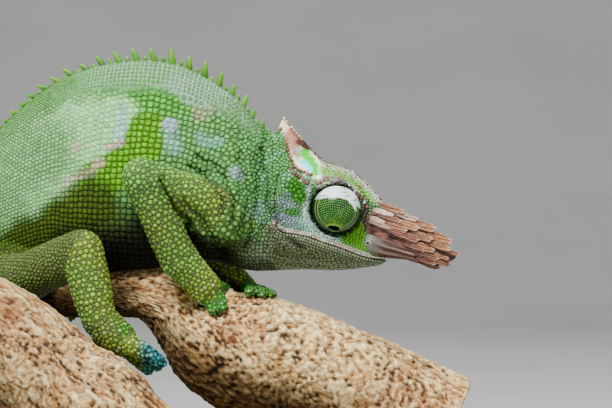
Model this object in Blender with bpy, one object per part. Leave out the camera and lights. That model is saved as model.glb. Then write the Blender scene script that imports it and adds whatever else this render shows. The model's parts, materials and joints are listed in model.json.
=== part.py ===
"""A two-horned chameleon, life size, gripping two cut lengths of branch over a plain display stand.

Run it with: blender --background --python part.py
Sizes are in millimetres and are turned into metres where each mesh is made. The animal faces +X, its right
side faces -Y, +Z is up, and the origin is the centre of the stand's underside.
"""

import math

import bmesh
import bpy
import numpy as np
from mathutils import Vector

MM = 0.001
GAP = 0.3  # clear space between two pieces that meet
FAR_SIDE = (1, "left")
NEAR_SIDE = (-1, "right")

# Colour, roughness and metallic value of each finish.
FINISHES = {
    "green_skin": ((0.16, 0.36, 0.08), 0.55, 0.0),
    "dark_skin": ((0.12, 0.26, 0.08), 0.6, 0.0),
    "casque_scale": ((0.42, 0.40, 0.30), 0.5, 0.0),
    "horn_scale": ((0.42, 0.26, 0.18), 0.45, 0.0),
    "lid_skin": ((0.14, 0.38, 0.07), 0.4, 0.0),
    "eyeball": ((0.01, 0.01, 0.01), 0.1, 0.0),
    "bark": ((0.42, 0.28, 0.18), 0.85, 0.0),
    "stand_board": ((0.05, 0.05, 0.055), 0.5, 0.0),
    "stand_metal": ((0.35, 0.35, 0.36), 0.35, 1.0),
}

# Neck and body sections: the top and bottom points, the half width, and how much the back narrows.
TRUNK_SIDES = 24
TRUNK = [
    # top x, top z, bottom x, bottom z, y, half width, keel
    (45.6, 107.1, 45.6, 73.2, 0.0, 8.6, 0.45),
    (41.5, 109.8, 39.4, 73.2, 0.0, 8.8, 0.50),
    (37.1, 115.2, 33.2, 75.0, 0.3, 9.8, 0.55),
    (30.9, 119.9, 26.0, 75.6, 1.0, 10.8, 0.58),
    (22.3, 124.2, 18.4, 74.2, 2.0, 11.8, 0.60),
    (12.4, 125.4, 10.0, 73.4, 3.0, 12.6, 0.60),
    (1.2, 123.9, 0.0, 73.0, 4.6, 12.6, 0.60),
    (-9.0, 119.7, -9.8, 72.2, 6.6, 11.8, 0.58),
    (-18.0, 113.0, -19.0, 70.6, 8.8, 10.8, 0.55),
    (-25.3, 105.6, -26.3, 68.8, 11.0, 9.8, 0.50),
    (-32.1, 97.2, -32.6, 67.8, 13.4, 8.6, 0.42),
    (-38.0, 89.6, -37.0, 67.8, 16.2, 6.9, 0.30),
    (-43.6, 83.0, -41.4, 68.8, 19.2, 5.4, 0.15),
]
NECK_END = 1.0  # the trunk's row where the neck meets the torso
TORSO_END = 11.35  # and where the torso meets the tail

TAIL = {
    "straight": 34.0,  # before the coil
    "length": 172.0,
    "first_radius": 19.0,  # of the coil's curve where it starts
    "last_radius": 3.4,
    "dip": math.radians(-29),  # the way it leaves the body
    "yaw": (-0.875, 0.484),  # in plan
    "root": 6.0,  # half height
    "tip": 0.7,
    "taper": 1.25,
    "flat": 0.84,  # width over height
}
TAIL_CUTS = (0.0, 0.21, 0.47, 0.72, 1.0)
TAIL_NAMES = ("tail_base", "tail_bend", "tail_coil_outer", "tail_coil_inner")
TAIL_SIDES = (14, 12, 10, 8)

# Head sections square to X. Each level is (z, half width); ridge and chin lie on the middle plane.
HEAD_SIDES_PER_LEVEL = 3
HEAD = [
    # x, ridge, crest, waist, lip, jaw, chin
    (45.6, 107.1, (100.5, 5.2), (92.0, 7.8), (85.0, 8.9), (79.6, 8.4), 73.2),
    (47.6, 110.9, (103.0, 3.9), (93.2, 7.4), (83.6, 9.4), (78.6, 8.4), 73.3),
    (49.3, 109.6, (100.8, 4.7), (92.0, 7.3), (82.8, 9.6), (78.4, 8.4), 73.4),
    (52.5, 105.8, (97.6, 6.0), (89.5, 7.3), (82.2, 9.4), (77.9, 8.2), 73.5),
    (57.1, 100.9, (95.6, 7.4), (88.3, 6.8), (80.7, 8.9), (77.2, 7.7), 73.4),
    (60.8, 99.4, (95.3, 7.2), (88.3, 6.3), (79.5, 8.2), (76.5, 7.0), 73.4),
    (64.2, 98.3, (94.5, 6.5), (87.8, 5.8), (78.1, 7.2), (75.8, 6.1), 73.6),
    (67.6, 95.4, (92.1, 5.3), (87.1, 5.2), (77.0, 5.8), (75.4, 4.8), 74.1),
    (71.0, 91.6, (89.3, 4.5), (84.7, 4.5), (76.8, 3.9), (75.6, 3.2), 74.7),
    (72.8, 88.6, (87.0, 3.2), (82.6, 3.4), (77.1, 2.2), (76.2, 1.7), 75.5),
    (73.5, 86.4, (85.2, 1.4), (81.6, 1.6), (78.2, 1.0), (77.4, 0.8), 76.8),
]
MOUTH = [  # (x, z) along the line between the lips, from past the snout to the corner
    (80.0, 77.4),
    (72.2, 76.3),
    (67.6, 76.9),
    (62.2, 78.9),
    (56.9, 80.7),
    (53.2, 82.0),
    (49.5, 82.6),
    (46.6, 84.4),
    (45.0, 87.0),
]
CASQUE_CUT = [(40.0, 98.2), (48.0, 98.6), (53.0, 95.4), (59.4, 97.6), (61.4, 104.0)]
CASQUE_BEADS = 7
EYE = {"centre": (60.6, 6.1, 88.6), "radius": 5.95, "seat": 4.6, "gaze": (-0.13, 0.60, -0.79)}
PIT = {"radius": 1.45, "depth": 1.7}
NOSTRIL = {"x": 68.3, "z": 80.1, "radius": 0.55, "depth": 1.3}
NOSE_SWELL = {"centre": (70.2, 3.9, 80.2), "size": (3.4, 1.9, 3.1)}

# Horn blade sections square to X: x, top z, bottom z, half thickness, distance from the middle plane.
HORN = [
    (65.5, 88.6, 83.5, 1.2, 3.3),
    (69.0, 89.3, 79.4, 1.7, 3.7),
    (73.0, 88.6, 77.6, 1.8, 4.0),
    (77.0, 86.8, 76.0, 1.7, 4.3),
    (81.0, 84.7, 74.9, 1.5, 4.6),
    (85.0, 81.6, 74.5, 1.2, 5.0),
    (88.0, 79.2, 75.6, 0.9, 5.3),
    (89.4, 77.9, 76.7, 0.4, 5.4),
]
HORN_SIDES = 8
HORN_PLATES = {"first": 70.6, "last": 86.4, "along": 5, "across": 4, "lift": 0.75}

CREST = {"spacing": 3.9, "tall": 3.5, "short": 1.3, "root": 0.85, "lean": 0.38}

# Limbs: joints from root to ankle or wrist, and half thicknesses at the root, middle and end of each bone.
# The palm and each toe lie on the named branch: (x of the branch's axis, turn from its top towards the near
# side, height of their middle line over the bark). A toe has two such places, at its root and its tip.
LIMBS = {
    "right_fore": {
        "names": ("upper_arm_right", "forearm_right", "hand_right"),
        "joints": ((37.5, -3.5, 86.0), (14.0, -16.2, 96.2), (22.4, -12.4, 77.2)),
        "upper": (6.6, 5.9, 5.0),
        "lower": (4.9, 4.7, 5.1),
        "perch": "perch_front",
        "palm": ((25.0, 41, 4.0), 4.4),
        "toes": (
            ((27.6, 48, 1.6), (29.6, 55, 1.2)),
            ((29.2, 40, 1.7), (31.0, 50, 1.2)),
            ((27.6, 22, 1.7), (28.0, 8, 1.2)),
            ((26.0, 16, 1.7), (25.4, 0, 1.2)),
            ((24.0, 12, 1.7), (22.6, -8, 1.2)),
        ),
    },
    "left_fore": {
        "names": ("upper_arm_left", "forearm_left", "hand_left"),
        "joints": ((36.0, 7.5, 85.6), (22.6, 20.0, 87.6), (31.6, 10.6, 75.0)),
        "upper": (6.8, 5.6, 4.9),
        "lower": (4.9, 4.9, 4.3),
        "perch": "perch_front",
        "palm": ((28.0, -34, 3.4), 3.8),
        "toes": (
            ((35.4, -16, 1.5), (39.6, 2, 1.1)),
            ((34.0, -10, 1.5), (37.0, 10, 1.1)),
            ((32.2, -8, 1.5), (33.6, 14, 1.1)),
            ((33.4, -42, 1.6), (36.4, -62, 1.2)),
            ((31.0, -46, 1.6), (32.4, -68, 1.2)),
        ),
    },
    "right_hind": {
        "names": ("thigh_right", "shin_right", "foot_right"),
        "joints": ((-27.0, 4.5, 66.0), (0.0, -15.6, 78.8), (3.8, -16.2, 62.6)),
        "upper": (7.2, 6.2, 5.4),
        "lower": (5.4, 5.2, 4.6),
        "perch": "perch_rear",
        "palm": ((-3.0, -22, 5.4), 4.5),
        "toes": (
            ((2.6, -8, 5.2), (7.2, -12, 4.2)),
            ((1.6, -20, 5.0), (6.6, -24, 3.6)),
            ((0.6, -32, 4.6), (5.4, -37, 3.0)),
            ((-4.4, -48, 2.6), (-4.6, -70, 1.2)),
            ((-6.8, -44, 2.6), (-8.2, -66, 1.2)),
        ),
    },
    "left_hind": {
        "names": ("thigh_left", "shin_left", "foot_left"),
        "joints": ((-25.4, 18.0, 69.0), (-14.0, 36.0, 82.0), (-6.4, 18.8, 71.6)),
        "upper": (7.6, 6.2, 5.2),
        "lower": (5.2, 4.9, 4.0),
        "perch": "perch_front",
        "palm": ((-6.0, -66, 3.4), 3.4),
        "toes": (
            ((-4.0, -34, 1.5), (-2.8, 8, 1.1)),
            ((-8.0, -34, 1.5), (-8.6, 8, 1.1)),
            ((-3.4, -96, 1.5), (-2.0, -140, 1.1)),
            ((-6.0, -100, 1.5), (-6.0, -148, 1.1)),
            ((-8.6, -96, 1.5), (-9.8, -140, 1.1)),
        ),
    },
}
LIMB_SIDES = 11
TOE = {"root": 2.2, "tip": 1.35, "claw": 2.4, "claw_root": 0.75}

# Perch: centre points and radii of each cut length of branch.
PERCH_SIDES = 16
PERCH = {
    "perch_front": [
        ((-14.0, 9.4, 66.0), 4.2),
        ((-2.7, 8.0, 66.6), 4.8),
        ((7.4, 6.0, 67.2), 5.1),
        ((14.0, 4.4, 66.8), 5.5),
        ((19.0, 3.0, 64.8), 7.2),
        ((24.5, 1.8, 61.4), 9.9),
        ((31.2, 0.0, 56.6), 13.1),
        ((39.2, -1.0, 52.9), 15.0),
        ((51.7, -1.0, 49.2), 15.4),
        ((63.9, -1.0, 44.6), 15.0),
        ((76.1, -1.0, 39.0), 14.8),
        ((86.0, -1.0, 33.6), 14.6),
    ],
    "perch_rear": [
        ((-38.0, -21.0, 61.4), 13.6),
        ((-31.0, -21.3, 61.0), 14.0),
        ((-23.9, -21.8, 59.3), 14.0),
        ((-16.6, -22.4, 55.2), 14.0),
        ((-9.6, -23.0, 49.6), 14.0),
        ((-3.2, -23.6, 44.0), 14.0),
        ((4.2, -24.2, 38.4), 14.0),
        ((10.4, -24.4, 33.9), 13.8),
        ((17.0, -24.0, 29.4), 13.4),
        ((25.0, -21.0, 26.0), 12.6),
        ((33.0, -15.0, 24.8), 12.0),
        ((39.5, -8.5, 26.6), 11.4),
        ((43.0, -4.0, 30.5), 11.0),
    ],
}

STAND = {"length": 188.0, "depth": 104.0, "thick": 8.0, "corner": 12.0, "edge": 1.2, "rod": 3.0}
RODS = {"stand_rod_front": (64.0, -1.0, "perch_front"), "stand_rod_rear": (-20.0, -22.0, "perch_rear")}


def flow(knots, values, at):
    """A smooth curve through values at knots: cubic pieces whose slopes are the local differences."""
    knots = np.asarray(knots, float)
    values = np.asarray(values, float)
    slopes = np.gradient(values, knots, axis=0)
    at = np.atleast_1d(np.asarray(at, float))
    i = np.clip(np.searchsorted(knots, at, side="right") - 1, 0, len(knots) - 2)
    step = knots[i + 1] - knots[i]
    t = (at - knots[i]) / step
    shape = (-1,) + (1,) * (values.ndim - 1)
    t, step = t.reshape(shape), step.reshape(shape)
    return (
        (1 + 2 * t) * (1 - t) ** 2 * values[i]
        + t * (1 - t) ** 2 * step * slopes[i]
        + t * t * (3 - 2 * t) * values[i + 1]
        + t * t * (t - 1) * step * slopes[i + 1]
    )


def unit(vector):
    vector = np.asarray(vector, float)
    return vector / np.linalg.norm(vector, axis=-1, keepdims=True)


def finish_named(name):
    """The Principled material of a finish, made once."""
    if name in bpy.data.materials:
        return bpy.data.materials[name]
    colour, roughness, metallic = FINISHES[name]
    material = bpy.data.materials.new(name)
    material.use_nodes = True
    shader = material.node_tree.nodes["Principled BSDF"]
    shader.inputs["Base Color"].default_value = (*colour, 1.0)
    shader.inputs["Roughness"].default_value = roughness
    shader.inputs["Metallic"].default_value = metallic
    material.diffuse_color = (*colour, 1.0)
    return material


def solid(name, rings, finish, peak=None):
    """A closed object from an array of rings (rows, points, 3) in millimetres.

    The first ring is capped flat, and so is the last, unless its faces are to meet at a peak.
    """
    rows, count, _ = rings.shape
    points = rings.reshape(-1, 3) * MM
    if peak is not None:
        points = np.vstack([points, np.multiply(peak, MM)])
    faces = []
    for row in range(rows - 1):
        for j in range(count):
            k = (j + 1) % count
            a, b = row * count + j, row * count + k
            faces.append((a, b, b + count, a + count))
    last = (rows - 1) * count
    faces.append(tuple(range(count)))
    if peak is None:
        faces.append(tuple(range(last, last + count)))
    else:
        faces += [(last + j, last + (j + 1) % count, rows * count) for j in range(count)]
    mesh = bpy.data.meshes.new(name)
    mesh.from_pydata(points.tolist(), [], faces)
    tidy = bmesh.new()
    tidy.from_mesh(mesh)
    bmesh.ops.recalc_face_normals(tidy, faces=tidy.faces)
    bmesh.ops.triangulate(tidy, faces=tidy.faces)
    tidy.to_mesh(mesh)
    tidy.free()
    mesh.materials.append(finish_named(finish))
    made = bpy.data.objects.new(name, mesh)
    bpy.context.scene.collection.objects.link(made)
    return made


def remove(obj):
    bpy.data.objects.remove(obj, do_unlink=True)


def largest_only(obj):
    """Keeps the object's largest closed surface, which drops loose scraps and sealed hollows."""
    shape = bmesh.new()
    shape.from_mesh(obj.data)
    left = set(shape.faces)
    groups = []
    while left:
        group, edge = set(), [left.pop()]
        while edge:
            face = edge.pop()
            group.add(face)
            for side in face.edges:
                for other in side.link_faces:
                    if other in left:
                        left.discard(other)
                        edge.append(other)
        groups.append(group)
    groups.sort(key=lambda group: sum(face.calc_area() for face in group))
    for group in groups[:-1]:
        bmesh.ops.delete(shape, geom=list(group), context="FACES")
    loose = [v for v in shape.verts if not v.link_faces]
    bmesh.ops.delete(shape, geom=loose, context="VERTS")
    shape.to_mesh(obj.data)
    shape.free()


def closed(mesh):
    """Whether every edge of the mesh has a face on both sides."""
    shape = bmesh.new()
    shape.from_mesh(mesh)
    whole = len(shape.faces) > 0 and all(len(edge.link_faces) == 2 for edge in shape.edges)
    shape.free()
    return whole


def solve(obj, combine):
    """Applies one Boolean: the exact solver, or the manifold one where the exact result isn't closed."""
    graph = bpy.context.evaluated_depsgraph_get()
    for solver in ("EXACT", "MANIFOLD"):
        combine.solver = solver
        graph.update()
        mesh = bpy.data.meshes.new_from_object(obj.evaluated_get(graph))
        if closed(mesh):
            break
    obj.modifiers.clear()
    obj.data = mesh
    largest_only(obj)
    return obj


def boolean(obj, tool, operation, keep_tool=False):
    """Cuts obj by tool, or keeps what they share."""
    cut = obj.modifiers.new("cut", "BOOLEAN")
    cut.operation = operation
    cut.object = tool
    solve(obj, cut)
    if not keep_tool:
        remove(tool)
    return obj


def fuse(obj, pieces):
    """One union of obj with all the pieces."""
    group = bpy.data.collections.new("pieces")
    bpy.context.scene.collection.children.link(group)
    for piece in pieces:
        bpy.context.scene.collection.objects.unlink(piece)
        group.objects.link(piece)
    join = obj.modifiers.new("join", "BOOLEAN")
    join.operation = "UNION"
    join.operand_type = "COLLECTION"
    join.collection = group
    solve(obj, join)
    for piece in pieces:
        remove(piece)
    bpy.data.collections.remove(group)
    return obj


def halved(obj, point, normal, clear=GAP / 2):
    """Keeps the part of obj that lies behind the plane, and closes the cut."""
    shape = bmesh.new()
    shape.from_mesh(obj.data)
    normal = Vector(normal).normalized()
    cut = bmesh.ops.bisect_plane(
        shape,
        geom=shape.verts[:] + shape.edges[:] + shape.faces[:],
        dist=1e-7,
        plane_co=Vector(point) * MM - normal * clear * MM,
        plane_no=normal,
        clear_outer=True,
    )
    rim = [part for part in cut["geom_cut"] if isinstance(part, bmesh.types.BMEdge)]
    capped = bmesh.ops.holes_fill(shape, edges=rim, sides=0)
    bmesh.ops.triangulate(shape, faces=capped["faces"])
    bmesh.ops.recalc_face_normals(shape, faces=shape.faces)
    shape.to_mesh(obj.data)
    shape.free()
    largest_only(obj)
    return obj


def prism(name, outline, half_depth):
    """A slab that fills the (x, z) outline, from -half_depth to half_depth across."""
    points = np.array(outline, float)
    rings = np.array([[(x, y, z) for x, z in points] for y in (-half_depth, half_depth)])
    return solid(name, rings, "dark_skin")


def ball(name, centre, size, finish, sides=12, rows=8):
    """An ellipsoid of the given half sizes."""
    fall = (np.arange(rows) + 0.5) * math.pi / rows
    turn = np.arange(sides) * 2 * math.pi / sides
    unit_rings = np.stack(
        [
            np.sin(fall)[:, None] * np.cos(turn),
            np.sin(fall)[:, None] * np.sin(turn),
            np.cos(fall)[:, None] * np.ones(sides),
        ],
        axis=-1,
    )
    return solid(name, np.asarray(centre) + unit_rings * np.asarray(size), finish)


def tube(name, path, radii, side, finish, sides, flat=1.0, rounded=(True, True)):
    """A tube along path, whose radii are half heights and whose width lies near the way of side.

    flat is width over height. A last radius of nought makes the tube end in a point.
    """
    path, radii = np.asarray(path, float), np.asarray(radii, float)
    along = unit(np.gradient(path, axis=0))
    peak = None
    if radii[-1] == 0:
        peak = path[-1]
        path, radii, along = path[:-1], radii[:-1], along[:-1]
    if rounded[0]:
        path, radii, along = round_end(path, radii, along, 0)
    if rounded[1]:
        path, radii, along = round_end(path, radii, along, -1)
    across = np.broadcast_to(np.asarray(side, float), path.shape)
    across = unit(across - (across * along).sum(-1, keepdims=True) * along)
    up = np.cross(across, along)
    turn = np.arange(sides) * 2 * math.pi / sides
    rings = (
        path[:, None]
        + radii[:, None, None] * np.cos(turn)[None, :, None] * up[:, None]
        + radii[:, None, None] * flat * np.sin(turn)[None, :, None] * across[:, None]
    )
    return solid(name, rings, finish, peak)


def round_end(path, radii, along, end):
    """Adds rings that close one end of a tube as a quarter round."""
    angles = np.array([0.6, 1.15])
    way = along[end] if end else -along[end]
    extra = path[end] + way * radii[end] * np.sin(angles)[:, None] * 0.92
    thin = radii[end] * np.cos(angles)
    ways = np.repeat(along[end][None], len(angles), axis=0)
    if end:
        return np.vstack([path, extra]), np.concatenate([radii, thin]), np.vstack([along, ways])
    return (
        np.vstack([extra[::-1], path]),
        np.concatenate([thin[::-1], radii]),
        np.vstack([ways, along]),
    )


def trunk_frame(at):
    """Middle, half axis up, way across, half width and keel of the trunk's section at each row number."""
    table = flow(np.arange(len(TRUNK)), np.array(TRUNK), at)
    top = np.stack([table[:, 0], table[:, 4], table[:, 1]], axis=-1)
    bottom = np.stack([table[:, 2], table[:, 4], table[:, 3]], axis=-1)
    whole = np.linspace(0, len(TRUNK) - 1, 121)
    rows = flow(np.arange(len(TRUNK)), np.array(TRUNK), whole)
    plan = np.stack([(rows[:, 0] + rows[:, 2]) / 2, rows[:, 4]], axis=-1)
    heading = unit(np.gradient(plan, axis=0))
    across = np.stack([-heading[:, 1], heading[:, 0], np.zeros(len(whole))], axis=-1)
    side = np.stack([np.interp(at, whole, across[:, k]) for k in range(3)], axis=-1)
    return (top + bottom) / 2, (top - bottom) / 2, unit(side), table[:, 5], table[:, 6]


def trunk_rings(at, grow=0.0, sides=TRUNK_SIDES):
    """Rings round the trunk: an ellipse whose width narrows towards the back by the keel."""
    middle, half, side, width, keel = trunk_frame(np.atleast_1d(at))
    reach = np.linalg.norm(half, axis=-1)
    half = half * ((reach + grow) / reach)[:, None]
    turn = np.arange(sides) * 2 * math.pi / sides
    narrow = 1 - keel[:, None] * ((1 + np.cos(turn)) / 2) ** 2
    return (
        middle[:, None]
        + half[:, None] * np.cos(turn)[None, :, None]
        + side[:, None] * ((width + grow)[:, None] * np.sin(turn) * narrow)[..., None]
    )


def trunk_piece(name, first, last, rows, finish, grow=0.0):
    return solid(name, trunk_rings(np.linspace(first, last, rows), grow), finish)


def tail_path(steps=430):
    """The tail's middle line and half height: straight, then a curl whose radius shrinks evenly."""
    length = np.linspace(0, TAIL["length"], steps)
    into = np.clip((length - TAIL["straight"]) / (TAIL["length"] - TAIL["straight"]), 0, 1)
    radius = TAIL["first_radius"] + (TAIL["last_radius"] - TAIL["first_radius"]) * into
    bend = np.where(length > TAIL["straight"], 1 / radius, 0.004)
    step = length[1]
    heading = TAIL["dip"] - np.concatenate([[0], np.cumsum(bend[:-1] * step)])
    run = np.concatenate([[0], np.cumsum(np.cos(heading[:-1]) * step)])
    rise = np.concatenate([[0], np.cumsum(np.sin(heading[:-1]) * step)])
    middle = trunk_frame(np.array([TORSO_END]))[0][0]
    away = np.array([*unit(TAIL["yaw"]), 0.0])
    path = middle + run[:, None] * away + rise[:, None] * np.array([0, 0, 1.0])
    share = length / TAIL["length"]
    radii = TAIL["tip"] + (TAIL["root"] - TAIL["tip"]) * (1 - share) ** TAIL["taper"]
    return length, path, radii


def crest_spine(name, foot, way, height, lean_way):
    """A tapered spine that bends a little towards lean_way, with its root sunk in the surface."""
    root = CREST["root"] * (0.55 + 0.45 * height / CREST["tall"])
    way = unit(way)
    path = np.array(
        [
            foot - way * 1.1,
            foot + way * height * 0.45,
            foot + way * height * 0.95 + unit(lean_way) * height * 0.12,
        ]
    )
    return tube(name, path, [root, root * 0.7, 0], (0, 1, 0), "green_skin", 4, 0.8, (False, False))


def knob(name, foot, way, size):
    """A low blunt knob with its root sunk in the surface."""
    way = unit(way)
    path = [foot - way * size * 0.8, foot + way * size * 0.55, foot + way * size]
    radii = [size, size * 0.72, 0]
    return tube(name, path, radii, (1, 0, 0), "casque_scale", 4, rounded=(False, False))


def crest_on_line(line, heights):
    """Spines at even spacing along a back line, alternately tall and short, leaning towards the tail."""
    run = np.concatenate([[0], np.cumsum(np.linalg.norm(np.diff(line, axis=0), axis=1))])
    count = int(run[-1] / (CREST["spacing"] / 2))
    made = []
    for k, at in enumerate(np.linspace(run[0] + 0.8, run[-1] - 0.8, count)):
        foot = np.array([np.interp(at, run, line[:, c]) for c in range(3)])
        ahead = np.array([np.interp(at + 0.6, run, line[:, c]) for c in range(3)])
        back = unit(ahead - foot)
        out = unit(np.cross(back, (back[1], -back[0], 0)))
        out = out if out[2] > 0 or abs(back[2]) > 0.95 else -out
        size = np.interp(at, run, heights)
        height = size * (CREST["tall"] if k % 2 else CREST["short"])
        made.append(crest_spine(f"spine_{k}", foot, out + back * CREST["lean"], height, back))
    return made


def make_torso():
    torso = trunk_piece("torso", NECK_END, len(TRUNK) - 1, 25, "green_skin")
    _, path, _ = tail_path()
    halved(torso, path[0], path[1] - path[0])
    rows = np.linspace(NECK_END + 0.1, TORSO_END - 0.1, 60)
    line = trunk_rings(rows)[:, 0]
    heights = np.interp(rows, [1.0, 2.5, 5.0, 7.0, 9.0, 11.7], [0.7, 1.0, 1.05, 0.8, 0.62, 0.5])
    return fuse(torso, crest_on_line(line, heights))


def make_neck():
    neck = trunk_piece("neck", 0.0, NECK_END - 0.06, 5, "green_skin")
    for corner in neck.data.vertices:
        corner.co.x -= GAP / 2 * MM * (corner.co.x > 45.5 * MM)
    rows = np.linspace(0.35, NECK_END - 0.2, 12)
    return fuse(neck, crest_on_line(trunk_rings(rows)[:, 0], np.full(12, 0.55)))


def tail_rings(at, sides):
    """Rings round the tail at the given lengths, square to its middle line, and its ridge line."""
    length, path, radii = tail_path()
    along = unit(np.gradient(path, axis=0))
    middle, along = (
        np.stack([np.interp(at, length, line[:, c]) for c in range(3)], axis=-1)
        for line in (path, along)
    )
    half = np.interp(at, length, radii)
    side = np.array([TAIL["yaw"][1], -TAIL["yaw"][0], 0.0])
    up = unit(np.cross(side, along))
    turn = np.arange(sides) * 2 * math.pi / sides
    rings = (
        middle[:, None]
        + (half[:, None] * np.cos(turn))[..., None] * up[:, None]
        + (half[:, None] * np.sin(turn) * TAIL["flat"])[..., None] * side
    )
    return rings, middle + up * half[:, None]


def make_tail():
    for k, name in enumerate(TAIL_NAMES):
        low = TAIL_CUTS[k] * TAIL["length"] + (GAP / 2 if k else 0.0)
        high = TAIL_CUTS[k + 1] * TAIL["length"] - (GAP / 2 if k < 3 else 0.0)
        count = int((high - low) / (3.2, 3.0, 2.6, 2.2)[k])
        rings, line = tail_rings(np.linspace(low or GAP / 2, high, count), TAIL_SIDES[k])
        if k == 3:
            piece = solid(name, rings[:-1], "green_skin", rings[-1].mean(axis=0))
        else:
            piece = solid(name, rings, "green_skin")
        if k == 0:
            fuse(piece, crest_on_line(line[:-1], np.linspace(0.45, 0.28, count - 1)))


def head_rings(grow=0.0):
    """Rings round the head: a closed smooth curve through the levels of each section, mirrored."""
    rings = []
    fine = np.linspace(0, len(HEAD) - 1, 17)
    table = np.array([np.hstack(section) for section in HEAD])
    for row in flow(np.arange(len(HEAD)), table, fine):
        x, ridge, cz, cw, wz, ww, lz, lw, jz, jw, chin = row
        side = [(cw, cz), (ww, wz), (lw, lz), (jw, jz)]
        loop = [(0, ridge), *side, (0, chin), *[(-w, z) for w, z in side[::-1]]]
        lapped = np.array(loop[-3:] + loop + loop[:3], float)
        at = 3 + np.arange(len(loop) * HEAD_SIDES_PER_LEVEL) / HEAD_SIDES_PER_LEVEL
        ring = flow(np.arange(len(lapped)), lapped, at)
        middle = np.array([0, (ridge + chin) / 2])
        out = ring - middle
        ring = middle + out * (1 + grow / np.linalg.norm(out, axis=1, keepdims=True))
        rings.append(np.column_stack([np.full(len(ring), x), ring]))
    rings = np.array(rings)
    rings[0, :, 0] -= grow
    rings[-1, :, 0] += grow
    return rings


def eye_point(side, lift=0.0):
    """A point out along the gaze from the middle of the eye on that side."""
    centre = np.array(EYE["centre"]) * (1, side, 1)
    gaze = unit(EYE["gaze"]) * (1, side, 1)
    return centre + gaze * lift


def crest_beads(side):
    """Knobs along the lateral crest, from behind the eye to the casque's point."""
    at = np.linspace(1.25, 3.8, CASQUE_BEADS)
    table = np.array([[x, crest[0], crest[1]] for x, _, crest, *_ in HEAD])
    feet = flow(np.arange(len(HEAD)), table, at)
    return [
        knob(f"bead_{k}", np.array([x, side * (w - 0.2), z]), (0, side, 0.35), 0.95)
        for k, (x, z, w) in enumerate(feet)
    ]


def brow_beads(side):
    """Knobs along the brow and the canthus, from above the eye to the snout."""
    at = np.linspace(4.2, 7.6, 7)
    table = np.array([[x, crest[0], crest[1]] for x, _, crest, *_ in HEAD])
    feet = flow(np.arange(len(HEAD)), table, at)
    return [
        knob(f"brow_{k}", np.array([x, side * (w - 0.3), z + 0.1]), (0, side, 0.6), 0.8)
        for k, (x, z, w) in enumerate(feet)
    ]


def ridge_beads():
    """Low knobs along the middle of the crown, from the casque's point forward."""
    at = np.linspace(1.15, 6.6, 12)
    table = np.array([[x, ridge] for x, ridge, *_ in HEAD])
    feet = flow(np.arange(len(HEAD)), table, at)
    return [
        knob(f"ridge_{k}", np.array([x, 0, z - 0.2]), (0, 0, 1), 0.8)
        for k, (x, z) in enumerate(feet)
    ]


def make_head():
    """The head is made whole, then parted along the mouth and under the casque."""
    skull = solid("head", head_rings(), "casque_scale")
    added = ridge_beads()
    for side in (-1, 1):
        centre = np.array(NOSE_SWELL["centre"]) * (1, side, 1)
        added.append(ball("nose_swell", centre, NOSE_SWELL["size"], "casque_scale", 12, 7))
        added += crest_beads(side) + brow_beads(side)
    fuse(skull, added)
    for side in (-1, 1):
        socket = ball(
            "socket", eye_point(side), (EYE["radius"] + GAP,) * 3, "dark_skin", 16, 9
        )
        halved(socket, (0, side * (EYE["seat"] - GAP), 0), (0, -side, 0), 0.0)
        boolean(skull, socket, "DIFFERENCE")
        hole = tube(
            "nostril",
            [(NOSTRIL["x"], side * y, NOSTRIL["z"]) for y in (9.0, 5.8 - NOSTRIL["depth"])],
            [NOSTRIL["radius"]] * 2,
            (1, 0, 0),
            "dark_skin",
            8,
            rounded=(False, False),
        )
        boolean(skull, hole, "DIFFERENCE")

    line = np.array(MOUTH)
    at = np.linspace(0, len(MOUTH) - 1, 25)
    line = flow(np.arange(len(MOUTH)), line, at)
    below = [(40.0, line[-1][1] + 2.0), (40.0, 60.0), (80.0, 60.0)]
    low_slab = prism("low_slab", [*line, *below], 20)
    jaw = skull.copy()
    jaw.data = skull.data.copy()
    jaw.name = "lower_jaw"
    bpy.context.scene.collection.objects.link(jaw)
    low_shifted = prism("low_slab", [*(line - (0, GAP)), *below], 20)
    boolean(jaw, low_shifted, "INTERSECT")
    boolean(skull, low_slab, "DIFFERENCE")
    jaw.data.materials.clear()
    jaw.data.materials.append(finish_named("green_skin"))

    above = [(61.4, 125.0), (40.0, 125.0)]
    casque = skull.copy()
    casque.data = skull.data.copy()
    casque.name = "casque"
    bpy.context.scene.collection.objects.link(casque)
    lifted = np.array(CASQUE_CUT) + (-0.1, GAP)
    boolean(casque, prism("top_slab", [*lifted, (61.3, 125.0), (40.0, 125.0)], 20), "INTERSECT")
    boolean(skull, prism("top_slab", [*CASQUE_CUT, *above], 20), "DIFFERENCE")


def make_eyes():
    """Each turret is a ball of scaly lid seated in the head, with a small opening that shows the eye."""
    for side, word in (NEAR_SIDE, FAR_SIDE):
        turret = ball(f"eye_turret_{word}", eye_point(side), (EYE["radius"],) * 3, "lid_skin", 16, 9)
        halved(turret, (0, side * EYE["seat"], 0), (0, -side, 0), 0.0)
        ends = [eye_point(side, EYE["radius"] + 1.0), eye_point(side, EYE["radius"] - PIT["depth"])]
        radii = [PIT["radius"] * 1.25, PIT["radius"]]
        pit = tube("pit", ends, radii, (1, 0, 0), "dark_skin", 14, rounded=(False, False))
        boolean(turret, pit, "DIFFERENCE")
        floor = EYE["radius"] - PIT["depth"]
        tube(
            f"eyeball_{word}",
            [eye_point(side, floor + GAP), eye_point(side, floor + 0.75)],
            [PIT["radius"] - GAP, PIT["radius"] - GAP],
            (1, 0, 0),
            "eyeball",
            12,
            rounded=(False, True),
        )


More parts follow.
